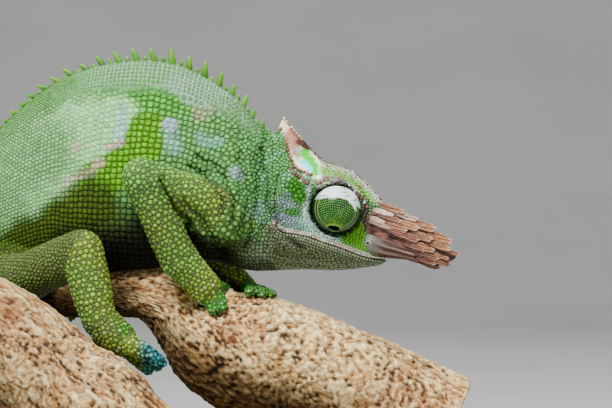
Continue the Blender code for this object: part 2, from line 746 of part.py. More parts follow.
def horn_plate(name, x, z, y, side, long, tall, tilt):
    """A scale plate on the horn: a flat wedge, low behind and raised at its pointed front edge."""
    lift = HORN_PLATES["lift"]
    half_low = np.array([(0.0, -0.32), (0.0, 0.34), (0.7, 0.48), (1.0, 0.05), (0.78, -0.44)])
    base, top = [], []
    for along, across in half_low:
        forward = along * long
        across = across * tall
        px = x + forward * math.cos(tilt) - across * math.sin(tilt)
        pz = z + forward * math.sin(tilt) + across * math.cos(tilt)
        base.append((px, side * (y - 0.9), pz))
        top.append((px, side * (y + lift * (0.15 + 0.85 * along)), pz))
    return solid(name, np.array([base, top]), "horn_scale")


def horn_section(x):
    """Top z, bottom z, half thickness and distance from the middle plane of the horn at x."""
    table = np.array(HORN)
    return flow(table[:, 0], table[:, 1:], x)


def make_horns():
    """Each horn is a flat blade from the side of the snout, clad in forward-pointing plates."""
    table = np.array(HORN)
    stations = np.linspace(table[0, 0], table[-1, 0], 9)
    turn = np.arange(HORN_SIDES) * 2 * math.pi / HORN_SIDES
    for side, word in (NEAR_SIDE, FAR_SIDE):
        rings = []
        for x, (top, bottom, thick, out) in zip(stations, horn_section(stations)):
            z = (top + bottom) / 2 + (top - bottom) / 2 * np.cos(turn)
            y = side * (out + thick * np.sign(np.sin(turn)) * np.abs(np.sin(turn)) ** 0.6)
            rings.append(np.column_stack([np.full(HORN_SIDES, x), y, z]))
        horn = solid(f"horn_{word}", np.array(rings), "horn_scale")
        plates = []
        columns = np.linspace(HORN_PLATES["first"], HORN_PLATES["last"], HORN_PLATES["along"])
        for i, x in enumerate(columns):
            for j in range(HORN_PLATES["across"]):
                at = x + (0.8 if j % 2 else -0.8)
                top, bottom, thick, out = horn_section(at)[0]
                share = (j + 0.5) / HORN_PLATES["across"]
                tall = (top - bottom) / HORN_PLATES["across"] * 0.86
                z = bottom + (top - bottom) * share
                inset = thick * (1 - (2 * share - 1) ** 4) ** 0.5
                plates.append(
                    horn_plate(f"plate_{i}_{j}", at - 1.4, z + 0.5, out + inset, side, 3.6, tall, -0.42)
                )
            top, bottom, thick, out = horn_section(x)[0]
            for way, z, tilt in ((1, top - 0.9, -0.16), (-1, bottom + 0.9, -0.46)):
                plates.append(edge_plate(f"tooth_{i}", x - 1.9, z, side * out, thick, tilt, way))
        fuse(horn, plates)
        snout = solid("snout", head_rings(GAP), "dark_skin")
        swell = ball(
            "swell",
            np.array(NOSE_SWELL["centre"]) * (1, side, 1),
            np.array(NOSE_SWELL["size"]) + GAP,
            "dark_skin",
            12,
            7,
        )
        beads = [grown(bead, GAP) for bead in brow_beads(side)]
        fuse(snout, [swell, *beads])
        boolean(horn, snout, "DIFFERENCE")


def grown(obj, by):
    """Pushes each corner of a small round piece away from its middle."""
    middle = sum((v.co for v in obj.data.vertices), Vector()) / len(obj.data.vertices)
    for corner in obj.data.vertices:
        out = corner.co - middle
        corner.co += out.normalized() * by * MM
    return obj


def edge_plate(name, x, z, y, thick, tilt, way):
    """A tooth on the horn's upper or lower edge, as way is 1 or -1: a wedge that stops square in front."""
    low, high = -1.2 * way, 0.95 * way
    profile = [(0.0, low), (3.4, low), (4.3, low * 0.2), (3.7, high), (0.3, 0.25 * way)]
    rings = []
    for share in (-0.95, 0.95):
        ring = []
        for along, across in profile:
            px = x + along * math.cos(tilt) - across * math.sin(tilt)
            pz = z + along * math.sin(tilt) + across * math.cos(tilt)
            ring.append((px, y + share * thick * 0.85, pz))
        rings.append(ring)
    return solid(name, np.array(rings), "horn_scale")


def perch_frame(name, rows):
    """Distance along, middle, radius, and the ways along, across (to the near side) and up of a branch."""
    table = PERCH[name]
    centres = np.array([point for point, _ in table])
    radii = np.array([radius for _, radius in table])
    run = np.concatenate([[0], np.cumsum(np.linalg.norm(np.diff(centres, axis=0), axis=1))])
    at = np.linspace(0, run[-1], rows)
    path = flow(run, centres, at)
    radius = flow(run, radii, at)
    along = unit(np.gradient(path, axis=0))
    across = unit(np.cross(along, (0, 0, 1)))
    up = np.cross(across, along)
    return at, path, radius, along, across, up


def on_perch(name, place):
    """The point over the bark of a branch at (x of its axis, turn from its top in degrees, height)."""
    x, turn, height = place
    _, path, radius, _, across, up = perch_frame(name, 200)
    k = int(np.argmin(np.abs(path[:, 0] - x)))
    turn = math.radians(turn)
    return path[k] + (radius[k] + height) * (math.cos(turn) * up[k] + math.sin(turn) * across[k])


def perch_rings(name, grow=0.0, rows=16):
    """Rings round a length of branch: a round section with low lumps that turn as they go along."""
    at, path, radius, along, across, up = perch_frame(name, rows)
    turn = np.arange(PERCH_SIDES) * 2 * math.pi / PERCH_SIDES
    twist = at[:, None] / 17.0
    lumps = 0.022 * np.sin(3 * turn + twist) + 0.018 * np.sin(5 * turn - 1.7 * twist)
    reach = radius[:, None] * (1 + lumps) + grow
    rings = (
        path[:, None]
        + (reach * np.cos(turn))[..., None] * up[:, None]
        + (reach * np.sin(turn))[..., None] * across[:, None]
    )
    rings[0] -= along[0] * grow
    rings[-1] += along[-1] * grow
    return rings


def make_perch():
    for name in PERCH:
        solid(name, perch_rings(name), "bark")
    grown_front = solid("grown_front", perch_rings("perch_front", GAP), "bark")
    boolean(bpy.data.objects["perch_rear"], grown_front, "DIFFERENCE")


def joint_plane(before, joint, after):
    """The normal of the plane that halves the bend at a joint, pointing towards what follows it."""
    return unit(unit(np.subtract(joint, before)) + unit(np.subtract(after, joint)))


def bone(name, start, end, radii, side, rows=5):
    """A limb segment: thick at the root, then tapered, with round ends."""
    start, end = np.array(start), np.array(end)
    share = np.linspace(0, 1, rows)
    half = flow([0, 0.5, 1], radii, share)
    path = start + (end - start) * share[:, None]
    return tube(name, path, half, side, "green_skin", LIMB_SIDES, flat=0.92)


def toe_pieces(palm, near, tip, side):
    """A toe from the palm to its tip, and the curved claw at its end."""
    palm, near, tip = (np.array(point, float) for point in (palm, near, tip))
    start = palm + (near - palm) * 0.25
    path = flow([0, 1, 2], np.array([start, near, tip]), np.linspace(0, 2, 4))
    path = np.vstack([path, path[-1] + unit(tip - near) * TOE["tip"] * 0.8])
    radii = [*np.linspace(TOE["root"], TOE["tip"], 4), 0]
    toe = tube("toe", path, radii, side, "green_skin", 5, rounded=(False, False))
    way = unit(tip - near)
    inward = unit(tip - palm - (0, 0, 3.0))
    root = tip + way * 0.5
    hook = np.array(
        [root, root + way * TOE["claw"] * 0.5, root + way * TOE["claw"] * 0.8 + inward * 0.55]
    )
    claw = tube("claw", hook, [TOE["claw_root"], 0.5, 0], side, "green_skin", 4, rounded=(False, False))
    return [toe, claw]


def make_limb(limb, trunk):
    upper_name, lower_name, hand_name = limb["names"]
    root, middle, end = (np.array(joint) for joint in limb["joints"])
    branch, palm_half = limb["perch"], limb["palm"][1]
    palm = on_perch(branch, limb["palm"][0])
    side = unit(np.cross(middle - root, end - middle))
    upper = bone(upper_name, root, middle, limb["upper"], side)
    lower = bone(lower_name, middle, end, limb["lower"], side)
    hand = bone(hand_name, end, palm, (limb["lower"][2], palm_half * 1.02, palm_half), side, 3)
    pieces = []
    for near, tip in limb["toes"]:
        pieces += toe_pieces(palm, on_perch(branch, near), on_perch(branch, tip), side)
    fuse(hand, pieces)
    bend = joint_plane(root, middle, end)
    wrist = joint_plane(middle, end, palm)
    halved(upper, middle, bend)
    halved(lower, middle, -bend)
    halved(lower, end, wrist)
    halved(hand, end, -wrist)
    for piece in (upper, hand):
        boolean(piece, trunk, "DIFFERENCE", keep_tool=True)
    perch = solid("grown_perch", perch_rings(branch, GAP), "bark")
    boolean(lower, perch, "DIFFERENCE", keep_tool=True)
    boolean(hand, perch, "DIFFERENCE")


def make_limbs():
    trunk = trunk_piece("grown_trunk", 0.0, len(TRUNK) - 1, 40, "green_skin", GAP)
    for limb in LIMBS.values():
        make_limb(limb, trunk)
    remove(trunk)


def make_stand():
    """A flat board with rounded corners, and two rods up to the branches."""
    long, deep, radius = STAND["length"] / 2, STAND["depth"] / 2, STAND["corner"]
    outline = []
    for quarter, corner in enumerate(((1, 1), (-1, 1), (-1, -1), (1, -1))):
        angle = (quarter + np.linspace(0, 1, 5)) * math.pi / 2
        middle = np.multiply(corner, (long - radius, deep - radius))
        outline.append(middle + radius * np.column_stack([np.cos(angle), np.sin(angle)]))
    outline = np.vstack(outline)
    thick, edge = STAND["thick"], STAND["edge"]
    shrink = 1 - edge / np.array([long, deep])
    rings = np.array(
        [
            np.column_stack([outline, np.zeros(len(outline))]),
            np.column_stack([outline, np.full(len(outline), thick - edge)]),
            np.column_stack([outline * shrink, np.full(len(outline), thick)]),
        ]
    )
    solid("stand_base", rings, "stand_board")
    for name, (x, y, perch) in RODS.items():
        top = perch_rings(perch)[:, :, 2].max()
        rod = tube(
            name,
            [(x, y, thick + GAP), (x, y, top - 16.0)],
            [STAND["rod"]] * 2,
            (0, 1, 0),
            "stand_metal",
            12,
            rounded=(False, False),
        )
        boolean(rod, solid("grown_perch", perch_rings(perch, GAP), "bark"), "DIFFERENCE")


def main():
    for obj in list(bpy.data.objects):
        bpy.data.objects.remove(obj, do_unlink=True)
    make_head()
    make_eyes()
    make_horns()
    make_neck()
    make_torso()
    make_tail()
    make_perch()
    make_limbs()
    make_stand()
    for obj in bpy.data.objects:
        obj.data.name = obj.name
        obj.data.shade_smooth()
        obj.data.set_sharp_from_angle(angle=math.radians(40))


main()
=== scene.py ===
import itertools
import json
import math

import bpy
import numpy as np
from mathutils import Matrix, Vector
from mathutils.bvhtree import BVHTree
from mathutils.kdtree import KDTree

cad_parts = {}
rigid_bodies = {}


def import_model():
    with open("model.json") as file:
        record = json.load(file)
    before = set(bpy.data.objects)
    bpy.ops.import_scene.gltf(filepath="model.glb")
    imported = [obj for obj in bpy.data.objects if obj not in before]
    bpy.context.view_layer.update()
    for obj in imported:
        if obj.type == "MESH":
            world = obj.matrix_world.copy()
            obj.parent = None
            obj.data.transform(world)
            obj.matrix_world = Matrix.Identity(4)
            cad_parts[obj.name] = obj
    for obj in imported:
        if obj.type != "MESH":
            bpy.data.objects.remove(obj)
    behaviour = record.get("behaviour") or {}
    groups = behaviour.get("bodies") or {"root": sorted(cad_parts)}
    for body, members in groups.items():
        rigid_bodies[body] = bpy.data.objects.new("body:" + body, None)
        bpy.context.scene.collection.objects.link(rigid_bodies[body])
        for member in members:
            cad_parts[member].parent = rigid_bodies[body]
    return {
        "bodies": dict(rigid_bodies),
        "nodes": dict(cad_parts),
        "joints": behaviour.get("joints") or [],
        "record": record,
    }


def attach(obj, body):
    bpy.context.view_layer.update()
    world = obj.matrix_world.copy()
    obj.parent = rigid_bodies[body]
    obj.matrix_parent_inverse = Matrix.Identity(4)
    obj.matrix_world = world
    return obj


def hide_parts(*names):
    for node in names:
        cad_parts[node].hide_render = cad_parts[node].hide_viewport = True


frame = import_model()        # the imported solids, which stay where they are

# Lengths are in millimetres until a mesh is made. The animal faces +X and its near flank faces -Y.
mm = 0.001
near, far = -1, 1
trunkPart, tailPart, headPart = 0, 1, 2   # part numbers; the limbs' parts have higher ones
chance = np.random.default_rng(11)
noiseTable = chance.random(4096)
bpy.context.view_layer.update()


# Curves and numbers

def flow(knots, values, at):
    # cubic pieces through the values whose slopes are the local differences
    knots = np.asarray(knots, float)
    values = np.asarray(values, float)
    slopes = np.gradient(values, knots, axis=0)
    at = np.atleast_1d(np.asarray(at, float))
    i = np.clip(np.searchsorted(knots, at, side="right") - 1, 0, len(knots) - 2)
    step = knots[i + 1] - knots[i]
    t = (at - knots[i]) / step
    shape = (-1,) + (1,) * (values.ndim - 1)
    t, step = t.reshape(shape), step.reshape(shape)
    return (
        (1 + 2 * t) * (1 - t) ** 2 * values[i]
        + t * (1 - t) ** 2 * step * slopes[i]
        + t * t * (3 - 2 * t) * values[i + 1]
        + t * t * (t - 1) * step * slopes[i + 1]
    )


def unit(vector):
    vector = np.asarray(vector, float)
    return vector / np.maximum(np.linalg.norm(vector, axis=-1, keepdims=True), 1e-12)


def ramp(low, high, value):
    # 0 below low, 1 above high, and 3t^2 - 2t^3 between
    t = np.clip((value - low) / (high - low), 0, 1)
    return t * t * (3 - 2 * t)


def ink(red, green, blue):
    # a screen colour, 0 to 255, as linear light
    value = np.array([red, green, blue], float) / 255
    return np.where(value > 0.04045, ((value + 0.055) / 1.055) ** 2.4, value / 12.92)


def blendTint(under, over, share):
    share = np.asarray(share, float)[..., None]
    return under * (1 - share) + over * share


def noise(points, size):
    # a smooth random number from 0 to 1: table values at the corners of a cube, blended by 3t^2 - 2t^3
    place = np.asarray(points, float) / size
    low = np.floor(place).astype(np.int64)
    t = place - low
    t = t * t * (3 - 2 * t)
    total = 0
    for corner in itertools.product((0, 1), repeat=3):
        at = low + np.array(corner)
        pick = (at[..., 0] * 73856093 ^ at[..., 1] * 19349663 ^ at[..., 2] * 83492791) & 4095
        total = total + noiseTable[pick] * np.prod(np.where(np.array(corner) == 1, t, 1 - t), axis=-1)
    return total


def fractal(points, size, octaves):
    # noise at halving sizes and halving weights, from 0 to 1
    weights = 0.5 ** np.arange(octaves)
    layers = [w * noise(np.asarray(points) + 31.7 * k, size / 2**k) for k, w in enumerate(weights)]
    return sum(layers) / weights.sum()


def turns(count, start=0.0):
    # even turns round a circle
    return (np.arange(count) + start) * 2 * math.pi / count


def runAlong(line):
    # the distance from a line's first point to each of its points
    return np.concatenate([[0], np.cumsum(np.linalg.norm(np.diff(line, axis=0), axis=1))])


def between(at, knots, table):
    # straight lines between a table's rows
    return np.stack([np.interp(at, knots, table[:, c]) for c in range(table.shape[1])], axis=-1)


def lineDistance(points, line):
    # the least distance in a plane from each point to a chain of straight pieces
    best = np.full(len(points), np.inf)
    for a, b in zip(np.array(line[:-1], float), np.array(line[1:], float)):
        t = np.clip((points - a) @ (b - a) / ((b - a) @ (b - a)), 0, 1)
        best = np.minimum(best, np.linalg.norm(points - a - t[:, None] * (b - a), axis=1))
    return best


# Meshes

def makePiece(name, points, faceSets, tint=None, bakeMap=None, sharp=None):
    # points in millimetres, face sets as arrays of corner numbers, one row for each face
    corners = np.concatenate([faces.ravel() for faces in faceSets]).astype(np.int32)
    counts = np.concatenate([np.full(len(faces), faces.shape[1]) for faces in faceSets])
    mesh = bpy.data.meshes.new(name)
    mesh.vertices.add(len(points))
    mesh.vertices.foreach_set("co", (points * mm).astype(np.float32).ravel())
    mesh.loops.add(len(corners))
    mesh.loops.foreach_set("vertex_index", corners)
    mesh.polygons.add(len(counts))
    mesh.polygons.foreach_set("loop_start", np.concatenate([[0], np.cumsum(counts)[:-1]]).astype(np.int32))
    mesh.update(calc_edges=True)
    if tint is not None:
        colour = mesh.attributes.new("tint", "FLOAT_COLOR", "POINT")
        values = np.column_stack([tint, np.ones(len(tint))])
        colour.data.foreach_set("color", values.astype(np.float32).ravel())
    if bakeMap is not None:
        layer = mesh.uv_layers.new(name="OFBake")
        layer.uv.foreach_set("vector", bakeMap[corners].astype(np.float32).ravel())
    mesh.shade_smooth()
    if sharp is not None:
        mesh.set_sharp_from_angle(angle=math.radians(sharp))
    piece = bpy.data.objects.new(name, mesh)
    bpy.context.scene.collection.objects.link(piece)
    return piece


def finish(piece, material, slot, *nodes):
    piece.data.materials.append(material)
    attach(piece, "root")
    if nodes:
        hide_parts(*nodes)


def gridFaces(rows, columns, wrap=True):
    # corner numbers of the faces between the rings of a grid
    row, column = np.meshgrid(np.arange(rows - 1), np.arange(columns if wrap else columns - 1), indexing="ij")
    following = (column + 1) % columns
    a, b = row * columns + column, row * columns + following
    return np.stack([a, b, b + columns, a + columns], axis=-1).reshape(-1, 4)


def closedShell(rings):
    # rings (rows, points, 3) joined by faces, each end closed by a fan to its middle, facing outwards
    rows, columns, _ = rings.shape
    points = np.vstack([rings.reshape(-1, 3), rings[0].mean(0), rings[-1].mean(0)])
    quads = gridFaces(rows, columns)
    spot = np.arange(columns)
    following = (spot + 1) % columns
    last = (rows - 1) * columns
    fans = np.vstack([
        np.column_stack([following, spot, np.full(columns, rows * columns)]),
        np.column_stack([spot + last, following + last, np.full(columns, rows * columns + 1)]),
    ])
    if shellVolume(points, quads, fans) < 0:
        quads, fans = quads[:, ::-1], fans[:, ::-1]
    return points, quads, fans


def shellVolume(points, quads, fans):
    # a sixth of the sum of the triple products of the triangles' corners
    triangles = np.vstack([quads[:, [0, 1, 2]], quads[:, [0, 2, 3]], fans])
    a, b, c = (points[triangles[:, k]] for k in range(3))
    return (np.cross(a, b) * c).sum() / 6


def joinShells(shells):
    # many closed shells as one set of points, quads and triangles
    start, points, quads, fans = 0, [], [], []
    for shellPoints, shellQuads, shellFans in shells:
        points.append(shellPoints)
        quads.append(shellQuads + start)
        fans.append(shellFans + start)
        start += len(shellPoints)
    return np.vstack(points), np.vstack(quads), np.vstack(fans)


def tubeRings(path, radii, side, sides, flat=1.0):
    # circles square to the path, made flat times as wide as high, with quarter rounds at the ends
    path, radii = np.asarray(path, float), np.asarray(radii, float)
    along = unit(np.gradient(path, axis=0))
    arc = np.linspace(0.25, 1.45, 5)
    path = np.vstack([
        (path[0] - along[0] * radii[0] * np.sin(arc)[:, None])[::-1],
        path,
        path[-1] + along[-1] * radii[-1] * np.sin(arc)[:, None],
    ])
    radii = np.concatenate([(radii[0] * np.cos(arc))[::-1], radii, radii[-1] * np.cos(arc)])
    along = np.vstack([np.repeat(along[:1], 5, axis=0), along, np.repeat(along[-1:], 5, axis=0)])
    across = np.broadcast_to(np.asarray(side, float), path.shape)
    across = unit(across - (across * along).sum(-1, keepdims=True) * along)
    up = np.cross(across, along)
    turn = turns(sides)
    return (
        path[:, None]
        + radii[:, None, None] * np.cos(turn)[None, :, None] * up[:, None]
        + radii[:, None, None] * flat * np.sin(turn)[None, :, None] * across[:, None]
    )


# Materials

class Wire:
    # a socket whose sums and products add Math nodes
    def __init__(self, paint, socket):
        self.paint, self.socket = paint, socket

    def maths(self, operation, first, second):
        return self.paint.node("ShaderNodeMath", {"operation": operation}, {0: first, 1: second})

    def __add__(self, other):
        return self.maths("ADD", self, other)

    def __mul__(self, other):
        return self.maths("MULTIPLY", self, other)

    __rmul__ = __mul__


class Paint:
    # one material: its Principled shader, and the nodes that feed it
    def __init__(self, name, **constants):
        self.material = bpy.data.materials.new(name)
        self.material.use_nodes = True
        self.tree = self.material.node_tree
        self.shader = self.tree.nodes["Principled BSDF"]
        for key, value in constants.items():
            self.shader.inputs[key.replace("_", " ")].default_value = value
        self.place = self.node("ShaderNodeTexCoord", {}, {}, "Object")

    def node(self, kind, settings, sockets, output=0):
        made = self.tree.nodes.new(kind)
        for key, value in settings.items():
            if key == "stops":
                for element, (spot, colour) in zip(made.color_ramp.elements, value):
                    element.position, element.color = spot, (*colour, 1.0)
            else:
                setattr(made, key, value)
        for key, value in sockets.items():
            self.feed(made.inputs[key], value)
        return Wire(self, made.outputs[output])

    def feed(self, socket, value):
        if isinstance(value, Wire):
            self.tree.links.new(value.socket, socket)
        else:
            socket.default_value = value

    def noise(self, size, detail=3.0, rough=0.55, stretch=None, twist=0.0):
        # noise whose grains are about size millimetres across, or stretched along a way of the object
        place = self.place
        if stretch is not None:
            place = self.node("ShaderNodeMapping", {}, {"Vector": place, "Scale": stretch})
        sockets = {"Vector": place, "Scale": 1 / (size * mm), "Detail": detail, "Roughness": rough}
        sockets["Distortion"] = twist
        return self.node("ShaderNodeTexNoise", {}, sockets, "Fac")

    def seams(self, size):
        # the distance to the seams between random cells about size millimetres across
        sockets = {"Vector": self.place, "Scale": 1 / (size * mm)}
        return self.node("ShaderNodeTexVoronoi", {"feature": "DISTANCE_TO_EDGE"}, sockets, "Distance")

    def tint(self):
        return self.node("ShaderNodeAttribute", {"attribute_name": "tint"}, {}, "Color")

    def shadeTint(self, shade):
        # the tint attribute times the shade
        grey = self.node("ShaderNodeCombineColor", {}, {"Red": shade, "Green": shade, "Blue": shade}, "Color")
        settings = {"data_type": "RGBA", "blend_type": "MULTIPLY"}
        sockets = {0: 1.0, 6: self.tint(), 7: grey}
        self.use(Base_Color=self.node("ShaderNodeMix", settings, sockets, 2))

    def curve(self, value, stops):
        return self.node("ShaderNodeValToRGB", {"stops": stops}, {"Fac": value}, "Color")

    def span(self, value, low, high, start, end):
        # value from low to high becomes start to end, and is held there
        sockets = {"Value": value, "From Min": low, "From Max": high, "To Min": start, "To Max": end}
        return self.node("ShaderNodeMapRange", {}, sockets, "Result")

    def bump(self, height, depth):
        sockets = {"Height": height, "Distance": depth * mm, "Strength": 1.0}
        self.feed(self.shader.inputs["Normal"], self.node("ShaderNodeBump", {}, sockets, "Normal"))

    def use(self, **links):
        for key, value in links.items():
            self.feed(self.shader.inputs[key.replace("_", " ")], value)


def scalyPaint(name, roughness, grain=0.16, depth=0.035, cobble=0.5, **constants):
    # the tint, mottled by two sizes of noise and by the seams of small cobbles, with a leathery bump
    paint = Paint(name, **constants)
    mottle = paint.span(paint.noise(0.6, 2.0), 0.3, 0.7, 0.8, 1.18)
    fine = paint.span(paint.noise(grain, 3.0), 0.25, 0.75, 0.82, 1.16)
    shade, relief = mottle * fine, paint.noise(grain, 4.0, 0.6)
    if cobble:
        seams = paint.seams(cobble)
        shade = shade * paint.span(seams, 0.0, 0.16, 0.72, 1.04)
        relief = relief + 1.5 * paint.span(seams, 0.0, 0.2, 0.0, 1.0)
    paint.shadeTint(shade)
    paint.use(Roughness=paint.span(paint.noise(0.5, 2.0), 0.3, 0.7, roughness - 0.08, roughness + 0.1))
    paint.bump(relief, depth)
    return paint.material


skinPaint = scalyPaint("skinPaint", 0.6, 0.3, 0.04, 0, Specular_IOR_Level=0.1)
scalePaint = scalyPaint("scalePaint", 0.46, 0.14, 0.06, 0.45, Specular_IOR_Level=0.15)
headPaint = scalyPaint("headPaint", 0.38, 0.14, 0.04, 0.36, Specular_IOR_Level=0.25)
lidPaint = scalyPaint(
    "lidPaint", 0.3, 0.12, 0.015, 0, Specular_IOR_Level=0.4, Coat_Weight=0.15, Coat_Roughness=0.15
)
spinePaint = scalyPaint("spinePaint", 0.4, 0.2, 0.04, 0, Specular_IOR_Level=0.3)
clawPaint = scalyPaint("clawPaint", 0.3, 0.25, 0.02, 0, Specular_IOR_Level=0.5)
hornPaint = scalyPaint("hornPaint", 0.4, 0.22, 0.12, 0, Specular_IOR_Level=0.3)


def eyePaint():
    # very glossy; the tint holds the pupil and the thin brown ring of iris
    paint = Paint("eyePaint", Roughness=0.04, Coat_Weight=1.0, Coat_Roughness=0.02)
    paint.use(Base_Color=paint.tint())
    return paint.material


def barkPaint():
    # the tint, grained along the fibres of the bark, with crumbs and dark pores
    paint = Paint("barkPaint", Specular_IOR_Level=0.2)
    fibres = paint.noise(0.42, 5.0, 0.65, (0.4, 1.0, 0.7), 0.5)
    crumbs = paint.noise(0.3, 4.0, 0.7)
    pores = paint.noise(1.0, 5.0, 0.75, (0.6, 1.0, 1.0))
    shade = paint.span(fibres, 0.3, 0.7, 0.7, 1.28) * paint.span(crumbs, 0.3, 0.7, 0.7, 1.28)
    shade = shade * paint.span(pores, 0.36, 0.5, 0.42, 1.04)
    paint.shadeTint(shade)
    paint.use(Roughness=paint.span(crumbs, 0.3, 0.7, 0.78, 0.95))
    paint.bump(fibres * 0.7 + crumbs * 0.5 + pores, 0.4)
    return paint.material


def boardPaint():
    # satin lacquer with a faint grain and a soft ripple
    paint = Paint("boardPaint", Specular_IOR_Level=0.45, Coat_Roughness=0.2)
    grain = paint.noise(9.0, 5.0, 0.6, (0.12, 1.0, 1.0), 0.4)
    paint.use(Base_Color=paint.curve(grain, [(0.3, ink(46, 44, 43)), (0.7, ink(66, 63, 60))]))
    paint.use(Roughness=paint.span(paint.noise(2.0, 3.0), 0.3, 0.7, 0.34, 0.46))
    paint.use(Coat_Weight=paint.span(grain, 0.3, 0.7, 0.2, 0.35))
    paint.bump(grain + 0.4 * paint.noise(0.8, 2.0), 0.02)
    return paint.material


def metalPaint():
    # brushed steel: fine noise stretched up the rod
    paint = Paint("metalPaint", Metallic=1.0)
    brush = paint.noise(0.4, 4.0, 0.6, (1.0, 1.0, 0.05))
    paint.use(Base_Color=paint.curve(brush, [(0.3, ink(128, 128, 130)), (0.7, ink(170, 170, 170))]))
    paint.use(Roughness=paint.span(brush, 0.3, 0.7, 0.28, 0.42))
    paint.bump(brush, 0.01)
    return paint.material


def floorPaint():
    paint = Paint("floorPaint", Roughness=0.85, Specular_IOR_Level=0.1)
    soft = paint.noise(160.0, 3.0)
    paint.use(Base_Color=paint.curve(soft, [(0.3, ink(184, 184, 182)), (0.7, ink(192, 192, 189))]))
    return paint.material


# Body forms, with the solids' own sections

trunk = {
    "rows": [  # top x, top z, bottom x, bottom z, y, half width, how much the back narrows
        (45.6, 107.1, 45.6, 73.2, 0.0, 8.6, 0.45),
        (41.5, 109.8, 39.4, 73.2, 0.0, 8.8, 0.50),
        (37.1, 115.2, 33.2, 75.0, 0.3, 9.8, 0.55),
        (30.9, 119.9, 26.0, 75.6, 1.0, 10.8, 0.58),
        (22.3, 124.2, 18.4, 74.2, 2.0, 11.8, 0.60),
        (12.4, 125.4, 10.0, 73.4, 3.0, 12.6, 0.60),
        (1.2, 123.9, 0.0, 73.0, 4.6, 12.6, 0.60),
        (-9.0, 119.7, -9.8, 72.2, 6.6, 11.8, 0.58),
        (-18.0, 113.0, -19.0, 70.6, 8.8, 10.8, 0.55),
        (-25.3, 105.6, -26.3, 68.8, 11.0, 9.8, 0.50),
        (-32.1, 97.2, -32.6, 67.8, 13.4, 8.6, 0.42),
        (-38.0, 89.6, -37.0, 67.8, 16.2, 6.9, 0.30),
        (-43.6, 83.0, -41.4, 68.8, 19.2, 5.4, 0.15),
    ],
    "coat": 0.35,  # the skin lies this far under the solids, and the scales fill the rest
    "tailStart": 11.35,
    "scale": (  # row of the table, and the width of a scale there
        (0.0, 1.0, 1.8, 2.6, 3.6, 4.6, 5.6, 6.6, 8.0, 12.0),
        (0.72, 0.84, 0.98, 1.22, 1.34, 1.5, 1.4, 1.08, 0.95, 0.9),
    ),
}

tail = {  # lengths along it, radii of the curl and of the tail, and the width of a scale by length
    "straight": 34.0, "length": 172.0, "firstRadius": 19.0, "lastRadius": 3.4,
    "dip": math.radians(-29), "yaw": (-0.875, 0.484), "root": 6.0, "tip": 0.7, "taper": 1.25, "flat": 0.84,
    "scale": ((0, 40, 110, 172), (1.3, 1.1, 0.8, 0.5)),
}

head = {
    "rows": [  # x, ridge, crest, waist, lip, jaw (each a height and half width), chin
        (45.6, 107.1, (100.5, 5.2), (92.0, 7.8), (85.0, 8.9), (79.6, 8.4), 73.2),
        (47.6, 110.9, (103.0, 3.9), (93.2, 7.4), (83.6, 9.4), (78.6, 8.4), 73.3),
        (49.3, 109.6, (100.8, 4.7), (92.0, 7.3), (82.8, 9.6), (78.4, 8.4), 73.4),
        (52.5, 105.8, (97.6, 6.0), (89.5, 7.3), (82.2, 9.4), (77.9, 8.2), 73.5),
        (57.1, 100.9, (95.6, 7.4), (88.3, 6.8), (80.7, 8.9), (77.2, 7.7), 73.4),
        (60.8, 99.4, (95.3, 7.2), (88.3, 6.3), (79.5, 8.2), (76.5, 7.0), 73.4),
        (64.2, 98.3, (94.5, 6.5), (87.8, 5.8), (78.1, 7.2), (75.8, 6.1), 73.6),
        (67.6, 95.4, (92.1, 5.3), (87.1, 5.2), (77.0, 5.8), (75.4, 4.8), 74.1),
        (71.0, 91.6, (89.3, 4.5), (84.7, 4.5), (76.8, 3.9), (75.6, 3.2), 74.7),
        (72.8, 88.6, (87.0, 3.2), (82.6, 3.4), (77.1, 2.2), (76.2, 1.7), 75.5),
        (73.5, 86.4, (85.2, 1.4), (81.6, 1.6), (78.2, 1.0), (77.4, 0.8), 76.8),
    ],
    "coat": 0.25,
    "mouth": [  # (x, z) along the line between the lips
        (72.2, 76.3), (67.6, 76.9), (62.2, 78.9), (56.9, 80.7), (53.2, 82.0), (49.5, 82.7), (47.3, 83.1),
        (45.7, 84.8),
    ],
    "noseCentre": (70.0, 3.9, 80.4), "noseSize": (3.0, 1.6, 2.7),
}

eye = {
    "centre": (60.6, 6.1, 88.6), "radius": 5.95, "ball": 4.75, "seat": 4.6, "gaze": (-0.13, 0.60, -0.79),
    "opening": (1.45, 1.0),  # half width and half height
    "cap": 0.88,  # angle from the side, within which the lid is covered in granules
}

